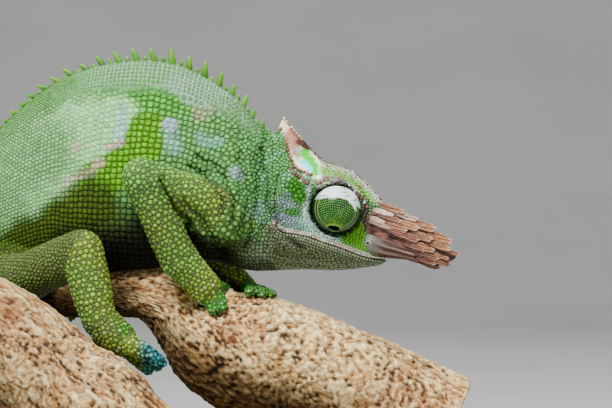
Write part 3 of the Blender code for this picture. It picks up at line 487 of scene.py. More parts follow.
# Joints from root to wrist or ankle, half thicknesses of each bone, and what lies on the branch: the palm and
# its radius, and the base and tip of each toe
limbs = {
    "rightFore": {
        "joints": ((37.5, -3.5, 86.0), (14.0, -16.2, 96.2), (22.4, -12.4, 77.2)),
        "upper": (6.6, 5.9, 5.0), "lower": (4.9, 4.7, 5.1),
        "perch": "perch_front", "palm": ((25.0, 41, 4.0), 4.4),
        "toes": (
            ((27.6, 48, 1.6), (29.6, 55, 1.2)), ((29.2, 40, 1.7), (31.0, 50, 1.2)),
            ((26.6, 16, 1.5), (27.0, 0, 1.1)), ((26.0, 16, 1.7), (25.4, 0, 1.2)),
            ((24.0, 12, 1.7), (22.6, -8, 1.2)),
        ),
    },
    "leftFore": {
        "joints": ((36.0, 7.5, 85.6), (22.6, 20.0, 87.6), (31.6, 10.6, 75.0)),
        "upper": (6.8, 5.6, 4.9), "lower": (4.9, 4.9, 4.3),
        "perch": "perch_front", "palm": ((28.0, -34, 3.4), 3.8),
        "toes": (
            ((35.4, -16, 1.5), (39.6, 2, 1.1)), ((34.0, -10, 1.5), (37.0, 10, 1.1)),
            ((32.2, -8, 1.5), (33.6, 14, 1.1)), ((33.4, -42, 1.6), (36.4, -62, 1.2)),
            ((31.0, -46, 1.6), (32.4, -68, 1.2)),
        ),
    },
    "rightHind": {
        "joints": ((-27.0, 4.5, 66.0), (0.0, -15.6, 78.8), (3.8, -16.2, 62.6)),
        "upper": (7.2, 6.2, 5.4), "lower": (5.4, 5.2, 4.6),
        "perch": "perch_rear", "palm": ((-3.0, -22, 5.4), 4.5),
        "toes": (
            ((2.6, -8, 5.2), (7.2, -12, 4.2)), ((1.6, -20, 5.0), (6.6, -24, 3.6)),
            ((0.6, -32, 4.6), (5.4, -37, 3.0)), ((-4.4, -48, 2.6), (-4.6, -70, 1.2)),
            ((-6.8, -44, 2.6), (-8.2, -66, 1.2)),
        ),
    },
    "leftHind": {
        "joints": ((-25.4, 18.0, 69.0), (-14.0, 36.0, 82.0), (-6.4, 18.8, 71.6)),
        "upper": (7.6, 6.2, 5.2), "lower": (5.2, 4.9, 4.0),
        "perch": "perch_front", "palm": ((-6.0, -66, 3.4), 3.4),
        "toes": (
            ((-4.0, -34, 1.5), (-2.8, 8, 1.1)), ((-8.0, -34, 1.5), (-8.6, 8, 1.1)),
            ((-3.4, -96, 1.5), (-2.0, -140, 1.1)), ((-6.0, -100, 1.5), (-6.0, -148, 1.1)),
            ((-8.6, -96, 1.5), (-9.8, -140, 1.1)),
        ),
    },
}
# Radii of a toe, length and radius of its claw, and how the near hind toes are thicker and moved
toe = {"root": 2.0, "tip": 1.2, "claw": 1.5, "clawRoot": 0.5, "hindGirth": 1.3, "hindShift": (1.5, 0.0, 2.0)}

perches = {  # centre points and radii of each cut length of branch
    "perch_front": [
        ((-14.0, 9.4, 66.0), 4.2), ((-2.7, 8.0, 66.6), 4.8), ((7.4, 6.0, 67.2), 5.1),
        ((14.0, 4.4, 66.8), 5.5), ((19.0, 3.0, 64.8), 7.2), ((24.5, 1.8, 61.4), 9.9),
        ((31.2, 0.0, 56.6), 13.1),
        ((39.2, -1.0, 52.9), 15.0), ((51.7, -1.0, 49.2), 15.4), ((63.9, -1.0, 44.6), 15.0),
        ((76.1, -1.0, 39.0), 14.8), ((86.0, -1.0, 33.6), 14.6),
    ],
    "perch_rear": [
        ((-38.0, -21.0, 61.4), 13.6), ((-31.0, -21.3, 61.0), 14.0), ((-23.9, -21.8, 59.3), 14.0),
        ((-16.6, -22.4, 55.2), 14.0), ((-9.6, -23.0, 49.6), 14.0), ((-3.2, -23.6, 44.0), 14.0),
        ((4.2, -24.2, 38.4), 14.0), ((10.4, -24.4, 33.9), 13.8), ((17.0, -24.0, 29.4), 13.4),
        ((25.0, -21.0, 26.0), 12.6), ((33.0, -15.0, 24.8), 12.0), ((39.5, -8.5, 26.6), 11.4),
        ((43.0, -4.0, 30.5), 11.0),
    ],
}


def trunkFrame(at):
    # middle and half axis of the section that flows through the rows, way across, half width and keel
    knots, rows = np.arange(len(trunk["rows"])), np.array(trunk["rows"])
    table = flow(knots, rows, at)
    top = np.stack([table[:, 0], table[:, 4], table[:, 1]], axis=-1)
    bottom = np.stack([table[:, 2], table[:, 4], table[:, 3]], axis=-1)
    whole = np.linspace(0, len(rows) - 1, 121)
    rows = flow(knots, rows, whole)
    heading = unit(np.gradient(np.stack([(rows[:, 0] + rows[:, 2]) / 2, rows[:, 4]], axis=-1), axis=0))
    across = np.stack([-heading[:, 1], heading[:, 0], np.zeros(len(whole))], axis=-1)
    side = unit(between(at, whole, across))
    return (top + bottom) / 2, (top - bottom) / 2, side, table[:, 5], table[:, 6]


def onTurn(turn, rows):
    # turns as (rows, points), whether given once for all rows or for each
    turn = np.asarray(turn, float)
    return np.broadcast_to(turn, (rows, turn.shape[-1])) if turn.ndim == 1 else turn


def trunkSurface(at, turn, grow=-trunk["coat"]):
    # middle + half cos(turn) + across width sin(turn) (1 - keel ((1 + cos(turn)) / 2)^2)
    middle, half, side, width, keel = trunkFrame(np.atleast_1d(at))
    reach = np.linalg.norm(half, axis=-1)
    half = half * ((reach + grow) / reach)[:, None]
    turn = onTurn(turn, len(middle))
    narrow = 1 - keel[:, None] * ((1 + np.cos(turn)) / 2) ** 2
    return (
        middle[:, None]
        + half[:, None] * np.cos(turn)[..., None]
        + side[:, None] * ((width + grow)[:, None] * np.sin(turn) * narrow)[..., None]
    )


def tailLine():
    # a straight, then a curl whose radius shrinks evenly, in an upright plane
    length = np.linspace(0, tail["length"], 430)
    into = np.clip((length - tail["straight"]) / (tail["length"] - tail["straight"]), 0, 1)
    radius = tail["firstRadius"] + (tail["lastRadius"] - tail["firstRadius"]) * into
    bend = np.where(length > tail["straight"], 1 / radius, 0.004)
    heading = tail["dip"] - np.concatenate([[0], np.cumsum(bend[:-1] * length[1])])
    run = np.concatenate([[0], np.cumsum(np.cos(heading[:-1]) * length[1])])
    rise = np.concatenate([[0], np.cumsum(np.sin(heading[:-1]) * length[1])])
    middle = trunkFrame(np.array([trunk["tailStart"]]))[0][0]
    path = middle + run[:, None] * np.array([*unit(tail["yaw"]), 0.0]) + rise[:, None] * np.array([0, 0, 1.0])
    radii = tail["tip"] + (tail["root"] - tail["tip"]) * (1 - length / tail["length"]) ** tail["taper"]
    return length, path, radii


def tailFrame(at):
    length, path, radii = tailLine()
    along = unit(np.gradient(path, axis=0))
    middle, along = between(at, length, path), between(at, length, along)
    side = np.array([tail["yaw"][1], -tail["yaw"][0], 0.0])
    return middle, unit(np.cross(side, along)), side, np.interp(at, length, radii)


def tailSurface(at, turn, grow=-0.22):
    # middle + up radius cos(turn) + side radius flat sin(turn)
    at = np.atleast_1d(at)
    middle, up, side, half = tailFrame(at)
    half = half + grow * np.clip(half / 2.5, 0.3, 1)
    turn = onTurn(turn, len(middle))
    return (
        middle[:, None]
        + (half[:, None] * np.cos(turn))[..., None] * up[:, None]
        + (half[:, None] * np.sin(turn) * tail["flat"])[..., None] * side
    )


headTable = np.array([np.hstack(row) for row in head["rows"]])


def headRings(at, perLevel, grow):
    # a closed smooth curve through the mirrored levels of each section, pushed out from its middle by grow
    rings = []
    for row in flow(np.arange(len(headTable)), headTable, at):
        x, ridge, cz, cw, wz, ww, lz, lw, jz, jw, chin = row
        side = [(cw, cz), (ww, wz), (lw, lz), (jw, jz)]
        loop = [(0, ridge), *side, (0, chin), *[(-w, z) for w, z in side[::-1]]]
        lapped = np.array(loop[-3:] + loop + loop[:3], float)
        ring = flow(np.arange(len(lapped)), lapped, 3 + np.arange(len(loop) * perLevel) / perLevel)
        middle = np.array([0, (ridge + chin) / 2])
        out = ring - middle
        ring = middle + out * (1 + grow / np.linalg.norm(out, axis=1, keepdims=True))
        rings.append(np.column_stack([np.full(len(ring), x), ring]))
    rings = np.array(rings)
    rings[-1, :, 0] += grow
    return rings


def perchFrame(name, rows):
    # distance along, middle, radius, and the ways along, across to the near side, and up
    centres = np.array([point for point, _ in perches[name]])
    radii = np.array([radius for _, radius in perches[name]])
    run = runAlong(centres)
    at = np.linspace(0, run[-1], rows)
    path, radius = flow(run, centres, at), flow(run, radii, at)
    along = unit(np.gradient(path, axis=0))
    across = unit(np.cross(along, (0, 0, 1)))
    return at, path, radius, along, across, np.cross(across, along)


def onPerch(name, place):
    # the point over the bark at an x of the branch's axis, a turn from its top in degrees, and a height
    x, turn, height = place
    _, path, radius, _, across, up = perchFrame(name, 200)
    k = int(np.argmin(np.abs(path[:, 0] - x)))
    turn = math.radians(turn)
    return path[k] + (radius[k] + height) * (math.cos(turn) * up[k] + math.sin(turn) * across[k])


# The skin: every form of flesh as a closed shell, made one by a voxel remesh, then eased and folded

skin = {
    "voxel": 0.56,
    "coat": 0.3,
    "shoulders": [  # extra muscle where a limb leaves the trunk: centre, half sizes
        ((31.5, -8.2, 87.5), (8.0, 4.2, 8.5)), ((31.5, 9.4, 87.0), (8.0, 4.4, 8.5)),
        ((-20.0, 1.5, 72.5), (10.0, 5.5, 7.5)), ((-23.5, 19.0, 73.0), (8.0, 5.5, 7.5)),
    ],
    "folds": [  # creases seen from the side: line of (x, z), depth, half width
        ([(42.4, 103.5), (43.6, 97.0), (44.1, 90.7), (45.0, 86.6), (48.0, 81.6), (52.0, 79.6)], 0.8, 0.75),
        ([(40.9, 101.0), (41.6, 94.3), (41.2, 89.0), (39.8, 84.0), (38.6, 79.0)], 0.7, 0.8),
        ([(38.6, 96.5), (39.3, 91.5), (38.6, 86.5), (36.6, 80.5)], 0.5, 0.8),
        ([(25.3, 98.6), (28.9, 97.0), (31.5, 94.3), (33.2, 91.0), (33.8, 87.0)], 0.8, 0.7),
        ([(26.8, 101.0), (31.1, 98.8), (34.0, 95.8), (35.8, 91.0), (36.0, 86.0)], 0.6, 0.7),
        ([(24.0, 90.0), (28.5, 85.5), (31.0, 81.5), (33.0, 78.0)], 0.7, 0.9),
        ([(46.3, 96.0), (45.8, 92.0), (45.6, 88.3), (46.2, 85.0)], 0.5, 0.55),
        ([(37.4, 101.5), (37.9, 96.0), (37.0, 90.5), (35.0, 85.0)], 0.4, 0.7),
        ([(43.4, 107.5), (42.4, 103.0), (42.8, 98.5)], 0.5, 0.6),
        ([(44.0, 77.6), (50.0, 77.2), (57.0, 76.4), (62.0, 75.6)], 0.22, 0.4),
        ([(44.0, 75.8), (50.0, 75.4), (57.0, 74.9)], 0.2, 0.4),
    ],
    "elbow": [
        ([(18.6, 95.6), (19.8, 93.6), (21.0, 91.4), (22.0, 89.4), (23.4, 87.2), (25.2, 84.8)], 1.5, 0.6),
    ],
    "neckCreases": {"spacing": 1.9, "depth": 0.34},
}


def bonePath(start, end, radii):
    share = np.linspace(0, 1, 24)
    path = np.array(start) + (np.array(end) - np.array(start)) * share[:, None]
    return path, flow([0, 0.5, 1], radii, share)


def ballRings(centre, size, sides=28, rows=18):
    # an ellipsoid: centre + size (sin f cos t, sin f sin t, cos f)
    fall = np.linspace(0.04, math.pi - 0.04, rows)[:, None]
    turn = turns(sides)[None]
    ball = [np.sin(fall) * np.cos(turn), np.sin(fall) * np.sin(turn), np.cos(fall) * np.ones_like(turn)]
    ball = np.stack(ball, axis=-1)
    return np.array(centre) + ball * np.array(size)


fleshShells = []   # closed shells of flesh
axisRows = []      # samples of every part's axis: place, up, side, half height, half width, part, share along
partNames = []
clawRoots = []     # root, way and inward way of each claw


def noteAxis(name, middle, up, side, high, wide):
    # remembers a part's axis, so that any point of the skin can be told its part, place along and turn
    partNames.append(name)
    count = len(middle)
    high, wide = np.broadcast_to(high, count), np.broadcast_to(wide, count)
    up, side = np.broadcast_to(up, (count, 3)), np.broadcast_to(side, (count, 3))
    number, share = np.full(count, len(partNames) - 1), np.linspace(0, 1, count)
    axisRows.append(np.column_stack([middle, unit(up), unit(side), high, wide, number, share]))


def layTrunk():
    at = np.linspace(-0.25, len(trunk["rows"]) - 1, 150)
    fleshShells.append(closedShell(trunkSurface(at, turns(120))))
    at = np.linspace(0.0, len(trunk["rows"]) - 1.2, 90)
    middle, half, side, width, _ = trunkFrame(at)
    noteAxis("trunk", middle, half, side, np.linalg.norm(half, axis=-1), width)


def layTail():
    at = np.linspace(0, tail["length"] - 0.4, 420)
    fleshShells.append(closedShell(tailSurface(at, turns(28))))
    at = np.linspace(0, tail["length"], 180)
    middle, up, side, half = tailFrame(at)
    noteAxis("tail", middle, up, side, half, half * tail["flat"])


def layHead():
    at = np.linspace(-0.12, len(headTable) - 1, 120)
    rings = headRings(at, 10, -head["coat"])
    fleshShells.append(closedShell(rings))
    for side in (near, far):
        nose = np.array(head["noseCentre"]) * (1, side, 1)
        fleshShells.append(closedShell(ballRings(nose, np.array(head["noseSize"]) - 0.1)))
    rows = flow(np.arange(len(headTable)), headTable, np.linspace(0.3, len(headTable) - 1.3, 30))
    middle = np.column_stack([rows[:, 0], np.zeros(len(rows)), (rows[:, 1] + rows[:, 10]) / 2])
    noteAxis("head", middle, (0, 0, 1), (0, 1, 0), (rows[:, 1] - rows[:, 10]) / 2, rows[:, 7])


def layLimb(name, limb):
    root, joint, end = (np.array(point) for point in limb["joints"])
    palm = onPerch(limb["perch"], limb["palm"][0])
    palmHalf = limb["palm"][1]
    side = unit(np.cross(joint - root, end - joint))
    bones = (
        ("Upper", root, joint, limb["upper"]),
        ("Lower", joint, end, limb["lower"]),
        ("Hand", end, palm, (limb["lower"][2], palmHalf * 1.02, palmHalf)),
    )
    for word, start, stop, radii in bones:
        path, half = bonePath(start, stop, np.array(radii) - skin["coat"])
        fleshShells.append(closedShell(tubeRings(path, half, side, 32, 0.94)))
        along = unit(stop - start)
        noteAxis(name + word, path, np.cross(side, along), side, half, half * 0.94)
    for spot, (base, tip) in enumerate(limb["toes"]):
        base, tip = onPerch(limb["perch"], base), onPerch(limb["perch"], tip)
        start = palm + (base - palm) * 0.2
        girth = toe["hindGirth"] if name == "rightHind" and spot < 3 else 1.0
        if girth > 1:
            base, tip = base + np.array(toe["hindShift"]) * 0.35, tip + np.array(toe["hindShift"])
        path = flow([0, 1, 2], np.array([start, base, tip]), np.linspace(0, 2, 16))
        half = np.linspace(toe["root"], toe["tip"], 16) * girth - 0.15
        fleshShells.append(closedShell(tubeRings(path, half, side, 20)))
        noteAxis(f"{name}Toe{spot}", path, np.cross(side, unit(tip - base)), side, half, half)
        way = unit(tip - base)
        clawRoots.append((tip + way * 0.6, way, unit(tip - palm - (0, 0, 3.0))))


def remeshSkin():
    # a voxel remesh of all the shells together: its points and its quads
    points, quads, fans = joinShells(fleshShells)
    piece = makePiece("fleshShells", points, [quads, fans])
    remesh = piece.modifiers.new("remesh", "REMESH")
    remesh.mode = "VOXEL"
    remesh.voxel_size = skin["voxel"] * mm
    mesh = bpy.data.meshes.new_from_object(piece.evaluated_get(bpy.context.evaluated_depsgraph_get()))
    points = np.zeros(len(mesh.vertices) * 3, np.float32)
    mesh.vertices.foreach_get("co", points)
    corners = np.zeros(len(mesh.loops), np.int32)
    mesh.loops.foreach_get("vertex_index", corners)
    bpy.data.objects.remove(piece)
    return points.reshape(-1, 3).astype(float) / mm, corners.reshape(-1, 4)


def edgesOf(quads):
    pairs = np.vstack([quads[:, [k, (k + 1) % 4]] for k in range(4)])
    return np.unique(np.sort(pairs, axis=1), axis=0)


def easeSkin(points, edges, strength, rounds):
    # each point moves towards the mean of its neighbours by its own strength
    count = np.bincount(edges.ravel(), minlength=len(points))[:, None]
    for _ in range(rounds):
        total = np.column_stack([
            np.bincount(edges[:, 0], points[edges[:, 1], c], len(points))
            + np.bincount(edges[:, 1], points[edges[:, 0], c], len(points))
            for c in range(3)
        ])
        points = points + (total / count - points) * np.reshape(strength, (-1, 1))
    return points


def vertexNormals(points, quads):
    # the sum of the cross products of each face's diagonals, shared by its corners
    face = np.cross(points[quads[:, 2]] - points[quads[:, 0]], points[quads[:, 3]] - points[quads[:, 1]])
    total = np.column_stack([
        sum(np.bincount(quads[:, k], face[:, c], len(points)) for k in range(4)) for c in range(3)
    ])
    return unit(total)


def partOf(points):
    # the part whose axis sample is nearest in units of its own radius: part, share along, turn, how much
    # farther the second best is, and which part that is
    table = np.vstack(axisRows)
    place, up, side = table[:, 0:3], table[:, 3:6], table[:, 6:9]
    high, wide = table[:, 9], table[:, 10]
    across = unit(np.cross(up, side))
    part, share, turn, spare, second = (np.zeros(len(points)) for _ in range(5))
    for low in range(0, len(points), 6000):
        away = points[low:low + 6000, None] - place[None]
        u = (away * up).sum(-1) / high
        s = (away * side).sum(-1) / wide
        a = (away * across).sum(-1) / (0.5 * (high + wide))
        reach = u * u + s * s + a * a
        best = reach.argmin(1)
        rows = np.arange(len(best))
        chosen = table[best, 11]
        part[low:low + 6000] = chosen
        share[low:low + 6000] = table[best, 12]
        turn[low:low + 6000] = np.arctan2(s[rows, best], u[rows, best])
        other = np.where(table[None, :, 11] == chosen[:, None], np.inf, reach)
        spare[low:low + 6000] = np.sqrt(other.min(1)) - np.sqrt(reach[rows, best])
        second[low:low + 6000] = table[other.argmin(1), 11]
    return part.astype(int), share, turn, spare, second.astype(int)


def partsNamed(*words):
    # for each part, whether its name holds one of the words
    return np.array([any(word in name for word in words) for name in partNames])


def foldSkin(points, normals, share, folds, neck):
    # pushes the skin in along each crease by depth exp(-(distance / width)^2), and up beside it. The neck
    # also has upright creases at even spacing, bent and broken by noise
    shift = np.zeros(len(points))
    # dark is the painted shade in each crease
    dark = np.zeros(len(points))
    wavy = points[:, [0, 2]] + (np.column_stack([noise(points, 3.1), noise(points + 50, 3.1)]) - 0.5) * 1.2
    for line, depth, width in folds:
        away = lineDistance(wavy, line)
        dip = np.exp(-((away / width) ** 2))
        swell = np.exp(-(((away - 2.1 * width) / width) ** 2))
        shift += (swell * 0.28 - dip) * depth
        dark = np.maximum(dark, dip * min(1.0, depth / 0.6))
    if neck:
        x, z = points[:, 0], points[:, 2]
        there = ramp(33.0, 37.0, x) * ramp(48.0, 46.5, x) * ramp(78.0, 84.0, z) * ramp(110.0, 104.0, z)
        phase = (x + 2.6 * noise(points, 4.0) + 0.12 * (z - 95.0)) / neck["spacing"]
        broken = ramp(0.3, 0.5, noise(points * (1, 1, 0.4) + 20, 1.6))
        crease = (0.5 + 0.5 * np.cos(2 * math.pi * phase)) ** 5 * broken * there
        shift -= crease * neck["depth"]
        dark = np.maximum(dark, crease * 0.85)
    use = ramp(0.2, 0.5, np.abs(normals[:, 1])) * share
    return points + normals * (shift * use)[:, None], dark * use


def socketSkin(points):
    # two low rims round each eye turret, the groove along the mouth, hollow sides to the casque, and its tip
    x, y, z = points.T
    side = np.sign(y)
    centre = np.array(eye["centre"])
    away = np.hypot(x - centre[0] + 0.2, z - centre[2] + 0.2)
    inHead = (x > 46) & (np.abs(y) > 2.2)
    rim = np.exp(-(((away - eye["radius"] - 0.95) / 0.35) ** 2)) * 0.45
    rim = rim + np.exp(-(((away - eye["radius"] - 1.95) / 0.35) ** 2)) * 0.22
    y = np.where(inHead, y + side * rim, y)
    y = np.where(inHead & (away < eye["radius"] + 0.4), side * np.minimum(np.abs(y), eye["seat"] - 0.2), y)
    lips = lineDistance(np.column_stack([x, z]), head["mouth"])
    groove = np.exp(-((lips / 0.3) ** 2)) * 0.5 - np.exp(-(((lips - 0.8) / 0.4) ** 2)) * 0.16
    y = np.where((x > 45) & (np.abs(y) > 1.0) & (z < 90), y - side * groove, y)
    hollow = np.exp(-(((x - 52.6) / 2.6) ** 2) - (((z - 101.0) / 3.6) ** 2)) * 0.9
    y = np.where(inHead & (z > 95.5), side * np.maximum(np.abs(y) - hollow, 0.9), y)
    z = z + 0.8 * np.exp(-(((x - 47.4) / 1.6) ** 2) - (((z - 110.6) / 1.8) ** 2))
    return np.column_stack([x, y, z])


layTrunk()
layTail()
layHead()
for limbName, limb in limbs.items():
    layLimb(limbName, limb)
for centre, size in skin["shoulders"]:
    fleshShells.append(closedShell(ballRings(centre, size)))

skinPoints, skinQuads = remeshSkin()
skinEdges = edgesOf(skinQuads)
skinPart, skinShare, skinTurn, skinSpare, skinSecond = partOf(skinPoints)
isPaw, isToe, isUpper = partsNamed("Toe", "Hand"), partsNamed("Toe"), partsNamed("Upper")
limbOf = np.array([name[:-5] for name in partNames])
bend = (limbOf[skinPart] == limbOf[skinSecond]) & (skinPart != skinSecond)
joins = (1 - ramp(0.12, 0.5, skinSpare)) * np.where(isPaw[skinPart], 0.2, np.where(bend, 0.35, 1.0))
skinPoints = easeSkin(skinPoints, skinEdges, 0.5, 3)
skinPoints = easeSkin(skinPoints, skinEdges, 0.62 * joins, 26)
skinPoints = easeSkin(skinPoints, skinEdges, 0.3, 1)
skinNormals = vertexNormals(skinPoints, skinQuads)
mayFold = partsNamed("trunk", "head", "Upper")[skinPart]
skinPoints, creaseShade = foldSkin(skinPoints, skinNormals, mayFold, skin["folds"], skin["neckCreases"])
inArm = partsNamed("rightForeUpper", "rightForeLower")[skinPart]
skinPoints, elbowShade = foldSkin(skinPoints, skinNormals, inArm, skin["elbow"], None)
creaseShade = np.maximum(creaseShade, elbowShade)
betweenToes = isToe[skinPart] & isToe[skinSecond]
crease = np.where(betweenToes, 1 - ramp(0.0, 0.3, skinSpare), 0)
skinPoints = skinPoints - skinNormals * (0.6 * crease)[:, None]
creaseShade = np.maximum(creaseShade, crease)
skinPoints = socketSkin(skinPoints)
skinNormals = vertexNormals(skinPoints, skinQuads)
skinPart, skinShare, skinTurn, _, _ = partOf(skinPoints)
skinTree = BVHTree.FromPolygons(skinPoints.tolist(), skinQuads.tolist())


def seat(points):
    # the nearest place on the skin to each point, its face, and how far off it was
    hits = [skinTree.find_nearest(point) for point in points.tolist()]
    return (
        np.array([tuple(hit[0]) for hit in hits]).reshape(-1, 3),
        np.array([hit[2] for hit in hits], int),
        np.array([hit[3] for hit in hits]),
    )


def castSide(flat, side):
    # the skin's places seen from the side at those (x, z) where it is met, and their faces
    hits = [skinTree.ray_cast((x, side * 60.0, z), (0, -side, 0)) for x, z in flat.tolist()]
    hits = [hit for hit in hits if hit[2] is not None]
    places = np.array([tuple(hit[0]) for hit in hits]).reshape(-1, 3)
    return places, np.array([hit[2] for hit in hits], int)


# Markings, alike on the skin and on its scales; the two last flank marks are painted shadow. Each is a thick
# line seen from the side: (x, z) points, half width, softness of its edge, colour, and strength

palette = {  # surface colours, stronger than they look, because the film curve greys them
    "green": ink(106, 170, 86), "yellowGreen": ink(100, 172, 2), "olive": ink(58, 72, 12),
    # the near-black belly and shade colours below are painted shade, for the underside and the shadowed flank
    "bellyShade": ink(28, 33, 12), "shade": ink(10, 12, 5), "bandLow": ink(70, 96, 16),
    "mint": ink(156, 222, 146), "mintRear": ink(120, 178, 108),
    "backGreen": ink(80, 176, 40), "lilac": ink(166, 184, 196), "paleNet": ink(160, 198, 164),
    "pinkish": ink(200, 176, 164), "paleBlue": ink(146, 204, 196), "neckGreen": ink(98, 164, 84),
    "neckBlue": ink(130, 172, 158), "throat": ink(114, 136, 98), "limbTip": ink(158, 192, 66),
    "limbFresh": ink(120, 190, 84), "granule": ink(78, 84, 52), "greyGranule": ink(128, 112, 104),
    "thigh": ink(104, 126, 66),
    "turquoise": ink(47, 157, 168), "toeGreen": ink(52, 170, 56), "blueBlack": ink(14, 22, 26),
    "casqueTan": ink(255, 226, 172), "casquePink": ink(180, 128, 104), "maroon": ink(90, 50, 54),
    "brightGreen": ink(44, 200, 14), "cyan": ink(90, 240, 238), "browBead": ink(122, 76, 58),
    "snoutPale": ink(238, 250, 226), "crown": ink(150, 226, 104), "temple": ink(44, 124, 4),
    "cheek": ink(88, 134, 96),
    "cheekMint": ink(124, 206, 160), "cheekGrey": ink(124, 144, 146), "lidPale": ink(184, 212, 194),
    "lip": ink(222, 202, 186), "lipPale": ink(244, 247, 222), "jaw": ink(108, 120, 86),
    "subEye": ink(104, 178, 8), "noseWhite": ink(140, 142, 130), "hornTan": ink(180, 124, 84),
    "hornPink": ink(146, 96, 80), "hornDark": ink(66, 36, 32), "hornPale": ink(232, 204, 178),
    "eyeGreen": ink(62, 134, 14), "lidSheenWhite": ink(232, 244, 240),
}

flankMarks = [
    ([(34.0, 121.0), (22.0, 117.0), (12.0, 117.0), (2.0, 119.0)], 6.0, 3.0, "backGreen", 0.8),
    ([(36.0, 112.0), (28.0, 108.0), (22.0, 105.0)], 5.0, 4.0, "green", 0.7),
    ([(6.0, 107.0), (-4.0, 104.0), (-14.0, 97.0), (-24.0, 87.0)], 9.0, 2.6, "mint", 0.95),
    ([(-12.0, 103.0), (-20.0, 97.0), (-28.0, 86.0)], 8.0, 6.0, "mintRear", 0.9),
    ([(8.4, 111.4), (8.6, 106.6)], 1.4, 1.4, "paleBlue", 0.75),
    ([(14.6, 107.6), (13.6, 104.5), (11.4, 101.0), (6.8, 98.0), (2.6, 94.6)], 4.5, 1.0, "yellowGreen", 1.0),
    ([(2.0, 90.5), (-3.0, 86.5), (-12.0, 81.5), (-20.0, 77.0)], 5.0, 3.0, "bandLow", 1.0),
    ([(34.5, 119.0), (30.0, 117.8), (25.0, 117.6), (22.0, 119.0)], 2.6, 1.6, "lilac", 0.7),
    ([(21.0, 106.6), (21.6, 103.4)], 1.4, 1.8, "paleBlue", 0.5),
    ([(27.4, 106.0), (30.0, 104.2), (32.0, 104.6)], 1.0, 1.4, "paleBlue", 0.45),
    ([(19.6, 109.2), (20.8, 109.0)], 1.0, 0.6, "lilac", 0.95),
    ([(29.0, 112.6), (27.4, 111.0)], 1.2, 1.2, "pinkish", 0.4),
    ([(36.0, 97.6), (37.0, 96.6)], 1.2, 0.7, "lilac", 0.7),
    ([(5.4, 103.8), (8.6, 104.4)], 0.9, 0.7, "pinkish", 0.85),
    ([(-2.8, 103.5), (-0.8, 104.1)], 0.5, 0.8, "pinkish", 0.6),
    ([(2.2, 98.9), (3.8, 99.6)], 0.9, 0.8, "pinkish", 0.75),
    ([(-4.5, 95.9), (1.5, 97.6)], 0.8, 1.2, "pinkish", 0.5),
    ([(44.4, 93.0), (42.0, 87.5), (45.2, 96.5)], 1.6, 1.2, "neckBlue", 0.6),
    # painted shadow: the low flank over the belly and the chest under the upper arm
    ([(-4.0, 77.4), (5.0, 77.6), (14.0, 79.4), (16.5, 84.0)], 4.2, 6.0, "shade", 0.9),
    ([(26.0, 82.0), (30.5, 79.5), (34.5, 77.0)], 1.2, 2.6, "shade", 0.75),
]

headMarks = [
    ([(46.0, 92.0), (48.5, 89.6), (51.0, 88.0)], 2.2, 0.9, "cheek", 1.0),
    ([(46.8, 90.6), (49.4, 89.6)], 1.0, 0.8, "cheekGrey", 0.8),
    ([(46.4, 86.6), (49.5, 85.9), (51.6, 85.2)], 1.2, 0.4, "cheekGrey", 1.0),
    ([(52.6, 85.8), (54.4, 83.4), (58.0, 81.8), (61.4, 80.9)], 0.7, 0.7, "cheekMint", 0.8),
    ([(53.9, 93.6), (53.2, 91.0), (53.1, 88.4), (53.7, 86.0), (55.2, 83.6), (58.4, 82.0), (61.4, 81.2)],
     0.5, 0.5, "lidPale", 0.9),
    ([(50.2, 97.0), (48.8, 95.2), (50.6, 93.6), (51.7, 91.4)], 1.5, 0.5, "temple", 1.0),
    ([(48.9, 88.0), (50.8, 87.8)], 0.7, 0.4, "temple", 0.9),
    ([(46.8, 110.6), (48.2, 108.8)], 1.3, 0.8, "casqueTan", 1.0),
    ([(49.4, 107.4), (50.2, 104.6), (50.7, 102.8)], 0.9, 0.7, "casquePink", 0.9),
    ([(49.6, 108.2), (51.0, 106.4), (52.4, 104.8)], 0.5, 0.4, "browBead", 0.9),
    ([(66.2, 96.6), (68.4, 94.4), (70.6, 91.4)], 1.4, 0.6, "snoutPale", 0.9),
    ([(51.2, 104.9), (52.6, 104.2), (53.6, 103.4)], 0.6, 0.4, "maroon", 1.0),
    ([(50.8, 103.2), (51.8, 102.6)], 0.6, 0.5, "lilac", 0.8),
    ([(52.7, 102.2), (53.8, 100.6), (55.4, 98.8), (55.6, 97.4)], 0.8, 0.35, "brightGreen", 1.0),
    ([(52.3, 99.7), (53.3, 98.8), (53.9, 98.2)], 0.85, 0.35, "cyan", 1.0),
    ([(50.9, 99.9), (51.8, 98.9), (53.2, 97.4)], 0.45, 0.3, "snoutPale", 1.0),
    ([(50.6, 97.4), (52.6, 96.2), (54.6, 95.0)], 0.5, 0.3, "cheekMint", 0.8),
    ([(57.4, 97.6), (61.0, 97.0), (64.6, 95.6), (66.8, 92.8)], 1.0, 0.7, "crown", 0.9),
    ([(56.4, 94.4), (59.5, 95.4), (62.5, 94.6), (65.0, 93.0), (67.2, 90.4)], 0.7, 0.4, "snoutPale", 0.8),
    ([(60.0, 99.0), (65.0, 97.4), (68.0, 94.4), (70.0, 92.0)], 0.9, 0.6, "snoutPale", 1.0),
    ([(66.6, 93.6), (67.6, 91.6)], 0.5, 0.4, "subEye", 0.8),
    ([(68.2, 92.4), (69.4, 90.4)], 0.6, 0.4, "crown", 1.0),
    ([(67.4, 90.2), (67.7, 87.0), (67.9, 83.6)], 0.6, 0.3, "maroon", 0.85),
    ([(63.6, 81.6), (65.6, 81.6), (66.6, 79.4), (65.6, 84.4)], 1.4, 0.5, "subEye", 1.0),
    ([(69.4, 80.6), (71.6, 80.4)], 2.2, 0.4, "noseWhite", 1.0),
    ([(70.8, 78.4), (73.2, 77.6)], 0.5, 0.5, "maroon", 0.8),
]
